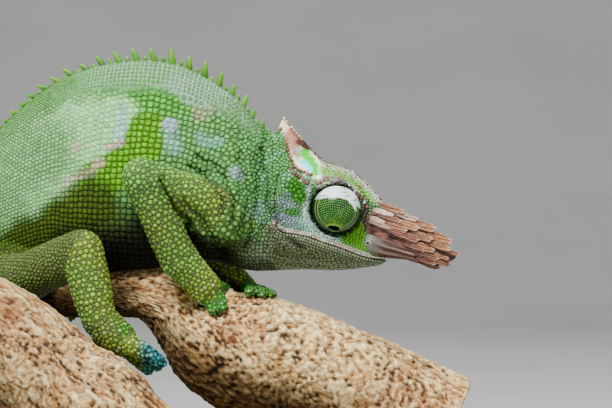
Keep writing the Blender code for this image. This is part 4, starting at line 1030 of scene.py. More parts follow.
casqueEdge = (  # z, and the x of the casque's back edge there
    (93.0, 95.0, 96.9, 97.8, 98.5, 99.9, 101.5, 103.7, 106.0, 107.3, 108.6),
    (57.0, 55.5, 54.5, 52.3, 50.9, 49.9, 49.2, 48.5, 48.1, 47.3, 45.6),
)
temple = [(50.0, 96.6), (48.8, 95.2), (50.6, 93.6), (51.7, 91.4)]   # where the scales are largest


def behindCasque(points):
    # 1 on the neck's side of the casque's back edge, above the temple
    edge = np.interp(points[:, 2], *casqueEdge)
    return ramp(0.2, -0.3, points[:, 0] - edge) * ramp(95.5, 97.5, points[:, 2] + (50.5 - points[:, 0]) * 1.2)


def onPlate(points):
    # 1 on the smooth plate of the casque's side and tip, where no scales are laid
    x, z = points[:, 0], points[:, 2]
    front = np.interp(z, (96.5, 100.2, 102.1, 104.1, 106.2, 109.6), (57.0, 56.8, 55.0, 53.0, 51.6, 48.6))
    side = (x > np.interp(z, *casqueEdge) + 0.3) & (x < front) & (z > 95.6 + 0.35 * np.abs(x - 56.0))
    return (side & (x > 45)) | ((z > 108.2) & (x > 45.4) & (x < 52))


def onNose(points):
    # 1 on the smooth bulge behind the horn, where the nostril opens
    x, z = points[:, 0], points[:, 2]
    return (np.hypot((x - 70.6) / 3.4, (z - 80.4) / 2.7) < 1) & (x > 67.3)


def mouthHeight(x):
    # the height of the line between the lips
    line = np.array(head["mouth"][::-1])
    return np.interp(x, line[:, 0], line[:, 1])


def crestShare(points, turn):
    # how much of the pale net lies between the scales: near the crest, and in the patch on the shoulder
    crest = ramp(0.62, 0.3, np.abs(turn)) * ramp(44.0, 36.0, points[:, 0]) * ramp(-12.0, 4.0, points[:, 0])
    patch = 1 - ramp(2.0, 4.2, lineDistance(points[:, [0, 2]], [(34.5, 118.0), (30.0, 116.8), (25.0, 117.2)]))
    return np.maximum(0.85 * crest, patch) * ramp(0.25, 0.45, noise(points, 4.0) + 0.25)


def mark(tint, points, marks):
    flat = points[:, [0, 2]]
    for line, width, soft, name, share in marks:
        wobble = (fractal(points + 7.0 * width, 4.5, 2) - 0.5) * 2.4 * min(soft, 1.6)
        away = lineDistance(flat, line) + wobble
        inside = 1 - ramp(width - soft / 2, width + soft, away)
        tint = blendTint(tint, palette[name], share * inside)
    return tint


def bodyTint(points, part, share, turn):
    # the colour of the tops of the scales by part, place along, turn and markings
    names = np.array(partNames)[part]
    x, y, z = points.T
    up = np.cos(turn)
    low = ramp(-0.15, -0.75, up)
    trunkTint = blendTint(palette["green"], palette["olive"], low)
    trunkTint = blendTint(trunkTint, palette["neckGreen"], (1 - ramp(36.0, 42.0, -x + 78.0)) * (1 - low))
    trunkTint = blendTint(trunkTint, palette["throat"], ramp(34.0, 41.0, x) * ramp(-0.3, -0.8, up))
    # painted shade: the underside darkens to near black
    trunkTint = blendTint(trunkTint, palette["bellyShade"], ramp(-0.75, -0.97, up) * 0.7)
    trunkTint = mark(trunkTint, points, flankMarks)

    tailTint = blendTint(palette["green"], palette["mint"], ramp(0.35, 0.6, noise(points, 7.0)) * 0.6)
    bands = ramp(0.45, 0.6, 0.5 + 0.5 * np.sin(share * 52.0 + 1.5 * noise(points, 5.0)))
    tailTint = blendTint(tailTint, palette["olive"], bands * 0.6)

    headTint = blendTint(palette["cheek"], palette["neckGreen"], ramp(0.35, 0.65, noise(points, 2.2)) * 0.5)
    flecks = noise(points, 0.9)
    crownTint = blendTint(palette["crown"], palette["snoutPale"], ramp(0.45, 0.6, flecks))
    crownTint = blendTint(crownTint, palette["casquePink"], ramp(0.42, 0.3, flecks) * 0.8)
    headTint = headTint + (crownTint - headTint) * ramp(94.0, 96.0, z)[:, None]
    headTint = blendTint(headTint, palette["casquePink"], ramp(102.5, 104.5, z) * 0.9)
    headTint = mark(headTint, points, headMarks)
    speckled = ramp(0.55, 0.75, noise(points, 1.1)) * 0.6
    speckled = blendTint(palette["neckGreen"], palette["cheekMint"], speckled)
    headTint = headTint + (speckled - headTint) * behindCasque(points)[:, None]
    below = ramp(0.2, -0.3, z - mouthHeight(x))
    headTint = blendTint(headTint, palette["jaw"], below)
    headTint = blendTint(headTint, palette["throat"], below * ramp(78.0, 75.5, z))
    lips = lineDistance(points[:, [0, 2]], head["mouth"])
    lipTint = blendTint(palette["lip"], palette["lipPale"], ramp(0.4, 0.6, noise(points, 1.3)))
    lipTint = blendTint(lipTint, palette["jaw"] * 1.3, below)
    headTint = headTint + (lipTint - headTint) * ((1 - ramp(0.8, 1.3, lips)) * (z < 86))[:, None]

    limbTint = blendTint(palette["limbTip"], palette["limbFresh"], ramp(0.45, 0.7, noise(points, 9.0)) * 0.5)
    elbow = np.linalg.norm(points - np.array([15.0, -15.0, 97.0]), axis=1)
    limbTint = blendTint(limbTint, palette["limbFresh"], (1 - ramp(4.0, 11.0, elbow)) * 0.9)
    limbTint = blendTint(limbTint, palette["thigh"], np.char.endswith(names, "HindUpper") * 0.85)
    toes = np.char.find(names, "Toe") >= 0
    limbTint = blendTint(limbTint, palette["toeGreen"], (toes & (np.char.find(names, "Fore") >= 0)) * 0.8)
    hind = np.char.startswith(names, "rightHind")
    limbTint = blendTint(limbTint, palette["turquoise"], hind * ramp(13.0, 16.0, x))
    ankle = np.exp(-(((x - 10.4) / 1.8) ** 2) - (((z - 60.4) / 1.6) ** 2))
    limbTint = blendTint(limbTint, palette["brightGreen"], ankle * hind * 0.8)
    # the root of a limb takes the trunk's own colour, so that the two run together
    root = np.char.endswith(names, "Upper") * (1 - ramp(0.12, 0.45, share))
    limbTint = limbTint + (trunkTint - limbTint) * root[:, None] * 0.85
    # the far hand is dark where the near arm and the throat shade it
    shaded = np.char.startswith(names, "leftFore") & ~toes & (y < 14)
    shaded = shaded * ramp(0.3, -0.3, z - 74.2 + (x - 30.1) * 0.59)
    limbTint = blendTint(limbTint, ink(46, 34, 24), shaded * 0.9)
    for ending, level in (("HindUpper", 0.82), ("ForeLower", 0.76), ("HindLower", 0.92), ("HindHand", 0.58)):
        limbTint = limbTint * np.where(np.char.endswith(names, ending), level, 1.0)[:, None]
    part = part[:, None]
    tint = np.where(part == tailPart, tailTint, np.where(part == headPart, headTint, limbTint))
    return np.where(part == trunkPart, trunkTint, tint)


skinTint = bodyTint(skinPoints, skinPart, skinShare, skinTurn)
smooth = onPlate(skinPoints) | onNose(skinPoints)
# the skin between the scales is darker, on the limbs too: partly its own darker colour, partly painted shade
# in the grooves
palePart = ramp(0.2, 0.45, skinTint.mean(axis=1)) * (skinPart < headPart)
skinBase = skinTint
skinTint = skinTint * np.where(smooth, 0.95, 0.28 + 0.45 * palePart)[:, None]
net = crestShare(skinPoints, skinTurn) * (skinPart == trunkPart)
skinTint = blendTint(skinTint, palette["paleNet"] * 0.8, net)
skinTint = np.where((skinPart > headPart)[:, None], skinBase * 0.24 + palette["granule"] * 0.16, skinTint)
# painted shade in the creases: the folds, the neck, the elbow and between the toes
skinTint = skinTint * (1 - 0.7 * creaseShade[:, None])
# painted shade along the slit between the lips
mouthShade = np.exp(-((lineDistance(skinPoints[:, [0, 2]], head["mouth"]) / 0.36) ** 2))
mouthShade = mouthShade * (skinPart == headPart) * (skinPoints[:, 2] < 86)
skinTint = skinTint * (1 - 0.75 * mouthShade[:, None])
# painted shade: the skin round the foot of each eye turret is near black
fromEye = skinPoints - eye["centre"]
inSocket = (np.hypot(fromEye[:, 0], fromEye[:, 2]) < eye["radius"] + 0.45) & (skinPart == headPart)
skinTint = np.where(inSocket[:, None], ink(14, 14, 9), skinTint)

fleshNodes = ["head", "lower_jaw", "casque", "neck", "torso"]
fleshNodes += ["tail_base", "tail_bend", "tail_coil_outer", "tail_coil_inner"]
for word in ("right", "left"):
    fleshNodes += [f"{part}_{word}" for part in ("upper_arm", "forearm", "hand", "thigh", "shin", "foot")]
skinPiece = makePiece("chameleonSkin", skinPoints, [skinQuads], skinTint)
finish(skinPiece, skinPaint, "body_skin", *fleshNodes)


# Scales. Each is a small dome whose outline reaches half way to its neighbours, seated on the skin

tile, knob, grain, ghost, bead = 0, 1, 2, 3, 4   # kinds of scale. A ghost only holds others off
rootRows = []   # in the order in which scales claim the skin


def addRoots(places, faces, *values):
    # the values are radius, reach, height, flatness and kind
    values = [np.broadcast_to(value, len(places)) for value in values]
    rootRows.append(np.column_stack([places, faces, *values]))


def evenRows(line, at, width):
    # numbers at such places that scales of that width lie side by side along the line
    run = np.concatenate([[0], np.cumsum(np.linalg.norm(np.diff(line, axis=0), axis=1) / width[1:])])
    return np.interp(np.arange(0.5, run[-1]), run, at)


def arcLattice(surface, at, width, anchor, low, high, brick=0.0):
    # on each ring, places at even arc lengths from the anchor's turn, kept between the low and high turns
    fine = np.linspace(low, high, 181)
    rings = surface(at, fine)
    steps = np.linalg.norm(np.diff(rings, axis=1), axis=2)
    run = np.concatenate([np.zeros((len(at), 1)), np.cumsum(steps, axis=1)], axis=1)
    start = run[:, int(round((anchor - low) / (high - low) * 180))]
    count = int((run[:, -1] / width).max()) + 1
    number = np.arange(-count, count + 1)[None] + brick * (np.arange(len(at)) % 2)[:, None]
    arcs = start[:, None] + number * width[:, None]
    good = (arcs > 0.2 * width[:, None]) & (arcs < run[:, -1:] - 0.2 * width[:, None])
    around = np.array([np.interp(arc, row, fine) for arc, row in zip(arcs, run)])
    return surface(at, around)[good], np.broadcast_to(width[:, None], good.shape)[good]


def jitter(places, widths, share):
    return places + (chance.random(places.shape) - 0.5) * (widths * share)[:, None]


def addSeated(places, widths, loose, limit, shares, flat, kind, parts):
    # shakes the places, seats them on the skin and keeps those that lay within the limit, on the parts named.
    # The shares of the width are the scale's radius, its reach and its height. The trunk's own scales run on
    # over the roots of the limbs
    seated, faces, off = seat(jitter(places, widths, loose))
    corner = skinQuads[faces, 0]
    good = (off < limit) & np.isin(skinPart[corner], parts)
    if trunkPart in parts:
        good |= (off < 3.4) & isUpper[skinPart[corner]] & (skinShare[corner] < 0.24)
    width = widths[good]
    size, keep, height = (width * share for share in shares)
    size = size * (0.84 + 0.32 * chance.random(len(width)))
    addRoots(seated[good], faces[good], size, keep, height, flat, kind)


def addMouthRows():
    # rows of lip and jaw scales that follow the line of the mouth, and ghosts that keep the mouth open
    line = np.array(head["mouth"])
    run = runAlong(line)
    rows = [(0.0, 0.4, ghost), (0.5, 0.72, tile), (1.1, 0.66, tile), (1.7, 0.66, tile)]
    rows += [(-0.48 - 0.56 * k, 0.62 + 0.03 * k, tile) for k in range(14)]
    for side in (near, far):
        for offset, width, kind in rows:
            at = np.arange(0.3, run[-1] - 0.2, width) + 0.5 * width * (int(abs(offset) * 10) % 2)
            middle = flow(run, line, at)
            ahead = unit(flow(run, line, at + 0.2) - flow(run, line, at - 0.2))
            away = middle + offset * np.column_stack([-ahead[:, 1], ahead[:, 0]])
            onHead = (away[:, 0] < 73.0) & (away[:, 1] > 73.6) & (away[:, 0] > 45.4)
            places, faces = castSide(away[onHead], side)
            if kind == ghost:
                addRoots(places, faces, 0.12, 0.05, 0.0, 0.5, ghost)
            else:
                places = jitter(places, np.full(len(places), width), 0.1)
                addRoots(places, faces, 0.5 * width, 0.26, 0.17 if offset > 0 else 0.11, 0.75, tile)


def addCheekPlates():
    # long flat plates, laid like bricks, between the temple and the corner of the mouth
    rows, columns = np.meshgrid(np.arange(5), np.arange(3), indexing="ij")
    flat = np.column_stack([(47.3 + 1.75 * columns + 0.8 * (rows % 2)).ravel(), (84.7 + 0.58 * rows).ravel()])
    for side in (near, far):
        places, faces = castSide(flat, side)
        addRoots(places, faces, 1.05, 0.29, 0.09, 0.9, tile)


def addEyeGhosts():
    # rings of ghosts, which keep the skin under the eye turrets bare
    for radius in (5.6, 4.6, 3.6, 2.4, 1.0):
        turn = np.arange(0, 2 * math.pi, 0.8 / radius)
        x, _, z = eye["centre"]
        flat = np.column_stack([x + radius * np.cos(turn), z + radius * np.sin(turn)])
        for side in (near, far):
            places, faces = castSide(flat, side)
            addRoots(places, faces, 0.4, 0.25, 0.0, 0.5, ghost)


# Rows of tall knobs: (x, z) points, how many, radius, height as a share of it, and whether they lie on the
# head's sides or on its ridge: the casque's edge, the temple, over and before the eye, and the ridge
beadRows = [
    ([(47.0, 108.2), (47.6, 106.9), (48.3, 105.4), (48.6, 103.7), (49.2, 101.5), (49.9, 99.9), (51.0, 98.4),
      (52.5, 97.6), (54.6, 96.8)], 17, 0.5, 0.55, True),
    ([(49.4, 98.5), (50.2, 97.4), (51.8, 96.3), (53.6, 94.9)], 8, 0.5, 0.55, True),
    ([(55.8, 94.6), (57.4, 95.3), (59.4, 95.5), (61.4, 95.2), (63.0, 94.4)], 9, 0.58, 0.5, True),
    ([(56.4, 95.4), (58.6, 96.2), (60.8, 96.1), (62.8, 95.2)], 7, 0.48, 0.4, True),
    ([(63.9, 93.8), (65.6, 92.4), (67.0, 90.8), (68.0, 89.0)], 6, 0.62, 0.6, True),
    ([(47.9, 110.9), (50.0, 108.7), (53.0, 105.1), (56.5, 101.3), (61.0, 99.3), (65.0, 97.7), (68.0, 94.9),
      (71.4, 91.0)], 34, 0.5, 0.6, False),
]


def addBeads(line, count, size, height, sideways):
    run = runAlong(line)
    flat = flow(run, line, np.linspace(0.2, run[-1] - 0.2, count))
    for side in (near, far):
        if sideways:
            places, faces = castSide(flat, side)
        else:
            places, faces, _ = seat(np.column_stack([flat[:, 0], np.full(count, side * 0.7), flat[:, 1]]))
        wide = size * (0.85 + 0.3 * chance.random(len(places)))
        addRoots(places, faces, wide, wide * 0.62, wide * height, 0.25, bead)


crestTurn, flankTurn = np.array([0.0]), np.array([math.pi / 2])


def layScales():
    # order matters: what comes first keeps its place
    addMouthRows()
    addEyeGhosts()
    addCheekPlates()
    for row in beadRows:
        addBeads(*row)

    at = np.linspace(0, len(trunk["rows"]) - 1, 400)
    line = trunkSurface(at, flankTurn)[:, 0]
    width = np.interp(at, *trunk["scale"])
    crestRows = evenRows(line, at, width * 0.72)
    crestRows = crestRows[crestRows > 2.6]
    wide = np.interp(crestRows, *trunk["scale"]) * 0.74
    places, widths = arcLattice(trunkSurface, crestRows, wide, 0.0, -0.72, 0.72)
    addSeated(places, widths, 0.18, 1.6, (0.5, 0.34, 0.13), 0.8, tile, [trunkPart])
    rows = evenRows(line, at, width)
    wide = np.interp(rows, *trunk["scale"]) * np.interp(rows, [0.0, 2.0, 3.2], [1.4, 1.25, 1.0])
    for low, high in ((0.0, math.pi), (-math.pi, 0.0)):
        places, widths = arcLattice(trunkSurface, rows, wide, (low + high) / 2, low, high)
        wave = np.column_stack([noise(places + 9 * c, 7.0) for c in range(3)]) - 0.5
        loose = 1 - ramp(20.0, 34.0, places[:, 0])
        places = places + wave * (1.6 - 0.8 * loose)[:, None]
        loose = (1.15 - 0.35 * loose) * 0.3
        addSeated(places, widths, loose, 1.6, (0.5, 0.34, 0.13), 0.8, tile, [trunkPart, headPart])

    at = np.linspace(0, tail["length"] - 0.8, 600)
    rows = evenRows(tailSurface(at, flankTurn)[:, 0], at, np.interp(at, *tail["scale"]))
    wide = np.interp(rows, *tail["scale"])
    for low, high in ((0.0, math.pi), (-math.pi, 0.0)):
        places, widths = arcLattice(tailSurface, rows, wide, (low + high) / 2, low, high, 0.5)
        addSeated(places, widths, 0.15, 1.2, (0.5, 0.33, 0.18), 0.65, tile, [tailPart])

    for number, name in enumerate(partNames):
        if not name.endswith(("Upper", "Lower", "Hand")):
            continue
        axis = axisRows[number]
        gap = 1.25 if name.endswith("Hand") else 1.1 if name.endswith("HindUpper") else 1.5

        def surface(at, turn, axis=axis):
            # the part's own axis, with its half height and half width
            at = np.atleast_1d(at)
            row = between(at, axis[:, 12], axis[:, :11])
            turn = onTurn(turn, len(at))
            high, wide = np.cos(turn) * row[:, 9:10], np.sin(turn) * row[:, 10:11]
            place, up, side = row[:, None, 0:3], row[:, None, 3:6], row[:, None, 6:9]
            return place + up * high[..., None] + side * wide[..., None]

        at = np.linspace(0, 1, 120)
        rows = evenRows(surface(at, flankTurn)[:, 0], at, np.full(120, gap * 0.87))
        if len(rows) == 0:
            continue
        places, widths = arcLattice(surface, rows, np.full(len(rows), gap), 0.0, -math.pi, math.pi, 0.5)
        addSeated(places, widths, 0.4, 2.6, (0.34, 0.32, 0.15), 0.36, knob, [number])


def scatter(chosen, size, keep, height, flat, kind, plenty=1.25):
    # random places over the chosen faces of the skin, as many as those reaches can hold
    corner = skinPoints[skinQuads[chosen]]
    area = np.linalg.norm(np.cross(corner[:, 2] - corner[:, 0], corner[:, 3] - corner[:, 1]), axis=1) / 2
    density = area / np.broadcast_to(keep, len(skinQuads))[chosen] ** 2
    total = int(plenty * density.sum())
    pick = np.searchsorted(np.cumsum(density), chance.random(total) * density.sum()).clip(0, len(area) - 1)
    a, b = chance.random((2, total, 1))
    quad = corner[pick]
    places = (quad[:, 0] * (1 - a) + quad[:, 1] * a) * (1 - b) + (quad[:, 3] * (1 - a) + quad[:, 2] * a) * b
    faces = np.flatnonzero(chosen)[pick]
    values = [np.broadcast_to(value, len(skinQuads))[faces] for value in (size, keep, height, flat, kind)]
    addRoots(places, faces, *values)


def fillSkin():
    # random scales claim what the rows left free: knobs on the joints, then every part in its own size
    first = skinPoints[skinQuads[:, 0]]
    part = skinPart[skinQuads[:, 0]]
    share = skinShare[skinQuads[:, 0]]
    names = np.array(partNames)[part]
    x, z = first[:, 0], first[:, 2]
    root = isUpper[part] & (share < 0.26)
    toes = isToe[part]
    gap = np.where(np.char.endswith(names, "HindUpper"), 1.1, 1.45)
    scatter((part > headPart) & ~toes & ~root, gap * 0.35, gap * 0.38, gap * 0.13, 0.42, knob, 2.0)
    scatter(toes, 0.44, 0.46, 0.26, 0.3, knob, 2.0)

    scatter((part > headPart) & ~root, 0.38, np.where(toes, 0.25, 0.31), 0.12, 0.4, grain)
    nearRow = np.where(root, 2.6, share * 11.8)
    trunkSize = np.interp(nearRow, *trunk["scale"]) * 0.46
    scatter((part == trunkPart) | root, trunkSize, trunkSize * 0.98, trunkSize * 0.34, 0.7, tile)
    tailSize = np.interp(share * tail["length"], *tail["scale"]) * 0.46
    scatter(part == tailPart, tailSize, tailSize * 0.95, tailSize * 0.34, 0.7, tile)

    plain = onPlate(first) | onNose(first)
    cheek = ramp(54.5, 53.0, x) * ramp(83.0, 84.5, z) * ramp(98.0, 96.0, z)
    templeSpot = cheek * (lineDistance(first[:, [0, 2]], temple) < 1.7)
    headSize = 0.37 - 0.06 * cheek + 0.16 * templeSpot - 0.1 * ramp(93.6, 95.2, z) * ramp(55.0, 57.0, x)
    headSize = headSize + 0.08 * (noise(first, 1.7) - 0.5) + 0.06 * ramp(79.0, 76.0, z)
    height = headSize * (0.17 + 0.16 * ramp(66.0, 69.0, x) + 0.2 * ramp(93.0, 95.0, z))
    scatter(part == headPart, headSize, headSize * 0.86, height, 0.75, np.where(plain, ghost, tile))


def claim(places, keep):
    # takes each place in turn, unless it is nearer to a taken one than both their reaches together
    cell = 2 * keep.max()
    cells = np.floor(places / cell).astype(int).tolist()
    taken, kept = {}, []
    steps = list(itertools.product((-1, 0, 1), repeat=3))
    for k, ((x, y, z), (i, j, l), reach) in enumerate(zip(places.tolist(), cells, keep.tolist())):
        if not any(
            (x - ox) ** 2 + (y - oy) ** 2 + (z - oz) ** 2 < (reach + other) ** 2
            for di, dj, dl in steps
            for ox, oy, oz, other in taken.get((i + di, j + dj, l + dl), ())
        ):
            kept.append(k)
            taken.setdefault((i, j, l), []).append((x, y, z, reach))
    return np.array(kept)


layScales()
fillSkin()
rootTable = np.vstack(rootRows)
rootTable = rootTable[claim(rootTable[:, :3], rootTable[:, 5])]
rootPlace, rootFace, rootKind = rootTable[:, :3], rootTable[:, 3].astype(int), rootTable[:, 8].astype(int)
rootSize, rootHeight, rootFlat = rootTable[:, 4], rootTable[:, 6], rootTable[:, 7]
rootNormal = unit(skinNormals[skinQuads[rootFace]].mean(axis=1))
rootPart, rootShare, rootTurn, _, _ = partOf(rootPlace)


def nearNeighbours(count):
    # the nearest other roots of each root
    tree = KDTree(len(rootPlace))
    for k, place in enumerate(rootPlace.tolist()):
        tree.insert(place, k)
    tree.balance()
    return np.array([[hit[1] for hit in tree.find_n(place, count + 1)][1:] for place in rootPlace.tolist()])


neighbours = nearNeighbours(16)
along = np.array([unit(rows[-1, :3] - rows[0, :3]) for rows in axisRows])[rootPart]
firstWay = unit(along - (along * rootNormal).sum(1, keepdims=True) * rootNormal)
secondWay = np.cross(rootNormal, firstWay)


def outline(pick, count):
    # in each direction, the distance at which the line half way to a neighbour is met, rounded at the
    # corners: (sum over neighbours of (cos angle / share of the distance)^7) to the power -1/7
    turn = turns(count, 0.5)
    ways = np.column_stack([np.cos(turn), np.sin(turn)])
    other = neighbours[pick]
    away = rootPlace[other] - rootPlace[pick][:, None]
    size = rootSize[pick][:, None]
    gap = np.linalg.norm(away, axis=-1) * size / (size + rootSize[other])
    facing = (rootNormal[other] * rootNormal[pick][:, None]).sum(-1) > 0.1
    flat = np.stack([(away * way[pick][:, None]).sum(-1) for way in (firstWay, secondWay)], axis=-1)
    pull = np.einsum("nmc,kc->nmk", unit(flat), ways) / gap[..., None]
    pull = np.where(facing[..., None], np.maximum(pull, 0), 0)
    most = np.broadcast_to(1 / (size[..., None] * 1.45), (len(pick), 1, count))
    pull = np.concatenate([pull, most], axis=1)
    return (pull**7).sum(axis=1) ** (-1 / 7), ways


def domeFaces(pieces, count):
    # faces of pieces that have three rings of count points and a point on top each: quads and fans
    spot = np.arange(count)
    following = (spot + 1) % count
    quad = np.column_stack([spot, following, following + count, spot + count])
    fan = np.column_stack([spot + 2 * count, following + 2 * count, np.full(count, 3 * count)])
    start = np.arange(pieces)[:, None, None] * (3 * count + 1)
    return (np.vstack([quad, quad + count])[None] + start).reshape(-1, 4), (fan[None] + start).reshape(-1, 3)


def domePatches(centres, ways):
    # on the bake map, a patch 0.003 across for each piece
    patch = np.concatenate([ways * 0.0015, ways * 0.0012, ways * 0.0007, [[0, 0]]])
    return (centres[:, None] + patch[None]).reshape(-1, 2)


def domes(pick, count, groove, tint, spread):
    # rings of each outline, shrunk and raised: a sunk skirt, an edge, a shoulder, and a point on top
    reach, ways = outline(pick, count)
    reach = reach * (1 - groove)
    flat = rootFlat[pick][:, None]
    height = (rootHeight[pick] * (0.85 + 0.3 * chance.random(len(pick))))[:, None]
    rings = [
        (1.0 + 0 * flat, -0.22 + 0 * height),
        (0.97 - 0.05 * (1 - flat), height * (0.42 + 0.2 * flat)),
        (0.5 + 0.2 * flat, height * (0.84 + 0.12 * flat)),
    ]
    layers, tints = [], []
    edge, top = tint
    # the rings' colours are painted shade and light: a near-black sunk skirt, a darker edge, and the lighter
    # top
    groovePale = ramp(0.12, 0.34, edge.mean(axis=1))[:, None]
    shades = (edge * (0.2 + 0.28 * groovePale), edge * 0.82, edge * 0.35 + top * 0.65)
    for (shrink, lift), shade in zip(rings, shades):
        flatPlace = (reach * shrink)[..., None] * ways[None]
        layers.append(
            rootPlace[pick][:, None]
            + flatPlace[..., :1] * firstWay[pick][:, None]
            + flatPlace[..., 1:] * secondWay[pick][:, None]
            + (rootNormal[pick] * lift)[:, None]
        )
        tints.append(np.repeat(shade[:, None], count, axis=1))
    peak = rootPlace[pick] + rootNormal[pick] * height
    points = np.concatenate([np.concatenate(layers, axis=1), peak[:, None]], axis=1)
    colours = np.concatenate([np.concatenate(tints, axis=1), top[:, None]], axis=1)
    # each scale's patch lies at its root's place on the part's unrolled skin
    strip = spread(rootPart[pick])
    around = 0.01 + 0.98 * (rootTurn[pick] / (2 * math.pi) + 0.5)
    centres = np.column_stack([strip[:, 0] + strip[:, 1] * rootShare[pick], around])
    quads, fans = domeFaces(len(pick), count)
    return points.reshape(-1, 3), quads, fans, colours.reshape(-1, 3), domePatches(centres, ways)


def coatPiece(name, chosen, slot, material, groove=0.09):
    # all the chosen scales as one mesh: larger ones with more sides
    parts = sorted(set(rootPart[chosen].tolist()))
    first = {part: k / len(parts) for k, part in enumerate(parts)}

    def spread(which):
        return np.array([[first[part] + 0.005, 1 / len(parts) - 0.01] for part in which.tolist()])

    blocks, start = [], 0
    for low, high, count in ((0.6, np.inf, 12), (0.4, 0.6, 9), (0.0, 0.4, 7)):
        pick = np.flatnonzero(chosen & (rootSize >= low) & (rootSize < high) & (rootKind != ghost))
        if len(pick) == 0:
            continue
        points, quads, fans, colours, bakeMap = domes(pick, count, groove, scaleTint(pick), spread)
        if (rootPart[pick] <= headPart).all():
            # the markings cross the scales: each point's own colour in proportion to its root's
            each = len(points) // len(pick)
            ofRoot = [values[pick] for values in (rootPart, rootShare, rootTurn)]
            atRoot = np.repeat(bodyTint(rootPlace[pick], *ofRoot), each, axis=0)
            atPoint = bodyTint(points, *(np.repeat(values, each) for values in ofRoot))
            colours = np.clip(colours * np.clip(atPoint / atRoot, 0.35, 2.5) ** 0.8, 0, 0.95)
        blocks.append((points, quads + start, fans + start, colours, bakeMap))
        start += len(points)
    points, quads, fans, colours, bakeMap = (np.concatenate([block[k] for block in blocks]) for k in range(5))
    finish(makePiece(name, points, [quads, fans], colours, bakeMap), material, slot)


def scaleTint(pick):
    # the markings' colour with a chance of its own for each scale: colours of its edge and of its top
    places, part = rootPlace[pick], rootPart[pick]
    count = len(pick)
    base = bodyTint(places, part, rootShare[pick], rootTurn[pick])
    lively = 0.76 + 0.42 * chance.random((count, 1))
    hue = 1 + (chance.random((count, 3)) - 0.5) * np.array([0.3, 0.12, 0.36])
    base = base * lively * hue
    # scales in the creases take the painted shade there
    foldShade = creaseShade[skinQuads[rootFace[pick]]].mean(axis=1)
    base = blendTint(base, base * 0.5 + palette["blueBlack"] * 0.3, foldShade * 0.85)
    kind = rootKind[pick]
    small = (kind == grain) & (part > headPart)
    grey = palette["greyGranule"] - palette["granule"]
    speck = palette["granule"] + grey * chance.random((count, 1)) ** 1.4
    base = np.where(small[:, None], base * 0.3 + speck * 0.5, base)
    paleDot = (kind == knob) & isPaw[part] & (chance.random(count) < 0.12)
    base = blendTint(base, palette["lipPale"], paleDot * 0.2)
    hindToes = np.char.startswith(np.array(partNames)[part], "rightHindToe") & small
    base = blendTint(base, palette["blueBlack"], hindToes * ramp(11.0, 15.5, places[:, 0]) * 0.85)
    x, z = places[:, 0], places[:, 2]
    browDots = chance.random(count) < 0.55
    beadTint = blendTint(palette["casquePink"] * 0.85, palette["browBead"], browDots * 0.85)
    greyDots = ramp(55.0, 56.0, x) * (chance.random(count) < 0.3)
    beadTint = blendTint(beadTint, palette["cheekGrey"], greyDots * 0.9)
    beadTint = blendTint(beadTint, palette["casqueTan"], ramp(104.0, 107.0, z) * 0.8)
    snoutDots = ramp(62.6, 63.6, x) * (chance.random(count) < 0.7)
    beadTint = blendTint(beadTint, palette["snoutPale"], snoutDots * 0.9)
    ridgeDots = (np.abs(places[:, 1]) < 1.6) & (chance.random(count) < 0.55)
    beadTint = blendTint(beadTint, palette["maroon"], ridgeDots * ramp(110.5, 108.5, z) * 0.85)
    crownDots = (part == headPart) * ramp(92.6, 94.4, z) * ramp(54.0, 56.0, x)
    pickDot = chance.random(count)
    base = blendTint(base, palette["casquePink"], crownDots * (pickDot < 0.2) * 0.7)
    base = blendTint(base, palette["crown"] * 0.8, crownDots * (pickDot > 0.66) * 0.8)
    base = blendTint(base, palette["maroon"], crownDots * (np.abs(pickDot - 0.25) < 0.05) * 0.7)
    base = np.where((kind == bead)[:, None], beadTint * lively, base)
    # painted shade on each scale's edge and a painted highlight on its top
    pale = ramp(0.25, 0.4, base.mean(axis=1))
    edge = base * (0.66 + 0.16 * pale[:, None])
    top = np.clip(base * (1.2 - 0.1 * pale[:, None]), 0, 0.92)
    # near the crest each scale is dark in the middle, in a pale net
    net = crestShare(places, rootTurn[pick]) * (part == trunkPart)
    edge = blendTint(edge, palette["paleNet"] * 0.8, net * 0.8)
    top = blendTint(top, palette["backGreen"] * 0.45, net * 0.9)
    return edge, top


rootX, rootY, rootZ = rootPlace.T
middleLine = np.array(trunk["rows"])[::-1, [0, 4]]
nearSide = rootY < np.interp(rootX, middleLine[:, 0], middleLine[:, 1])
isHead = rootPart == headPart
isJaw = isHead & (rootZ < mouthHeight(rootX))
isCasque = isHead & (rootZ > 97.5) & (rootX < 60)
isRear = (rootPart == trunkPart) & (rootX < 3)
isFront = (rootPart == trunkPart) & ~isRear
for word, isSide in (("Near", nearSide), ("Far", ~nearSide)):
    coatPiece("bodyScales" + word, isFront & isSide, "body_skin", scalePaint)
    coatPiece("flankScales" + word, isRear & isSide, "body_skin", scalePaint)
coatPiece("tailScales", rootPart == tailPart, "body_skin", scalePaint)
coatPiece("headScales", isHead & ~isJaw & ~isCasque, "head_skin", headPaint, 0.08)
coatPiece("jawScales", isJaw, "jaw_skin", headPaint, 0.08)
coatPiece("casqueScales", isCasque, "casque_scale", headPaint, 0.05)
for limbName in limbs:
    coatPiece(limbName + "Scales", partsNamed(limbName)[rootPart], "limb_skin", scalePaint, 0.07)


# Spines and claws: small horns swept along short bent paths

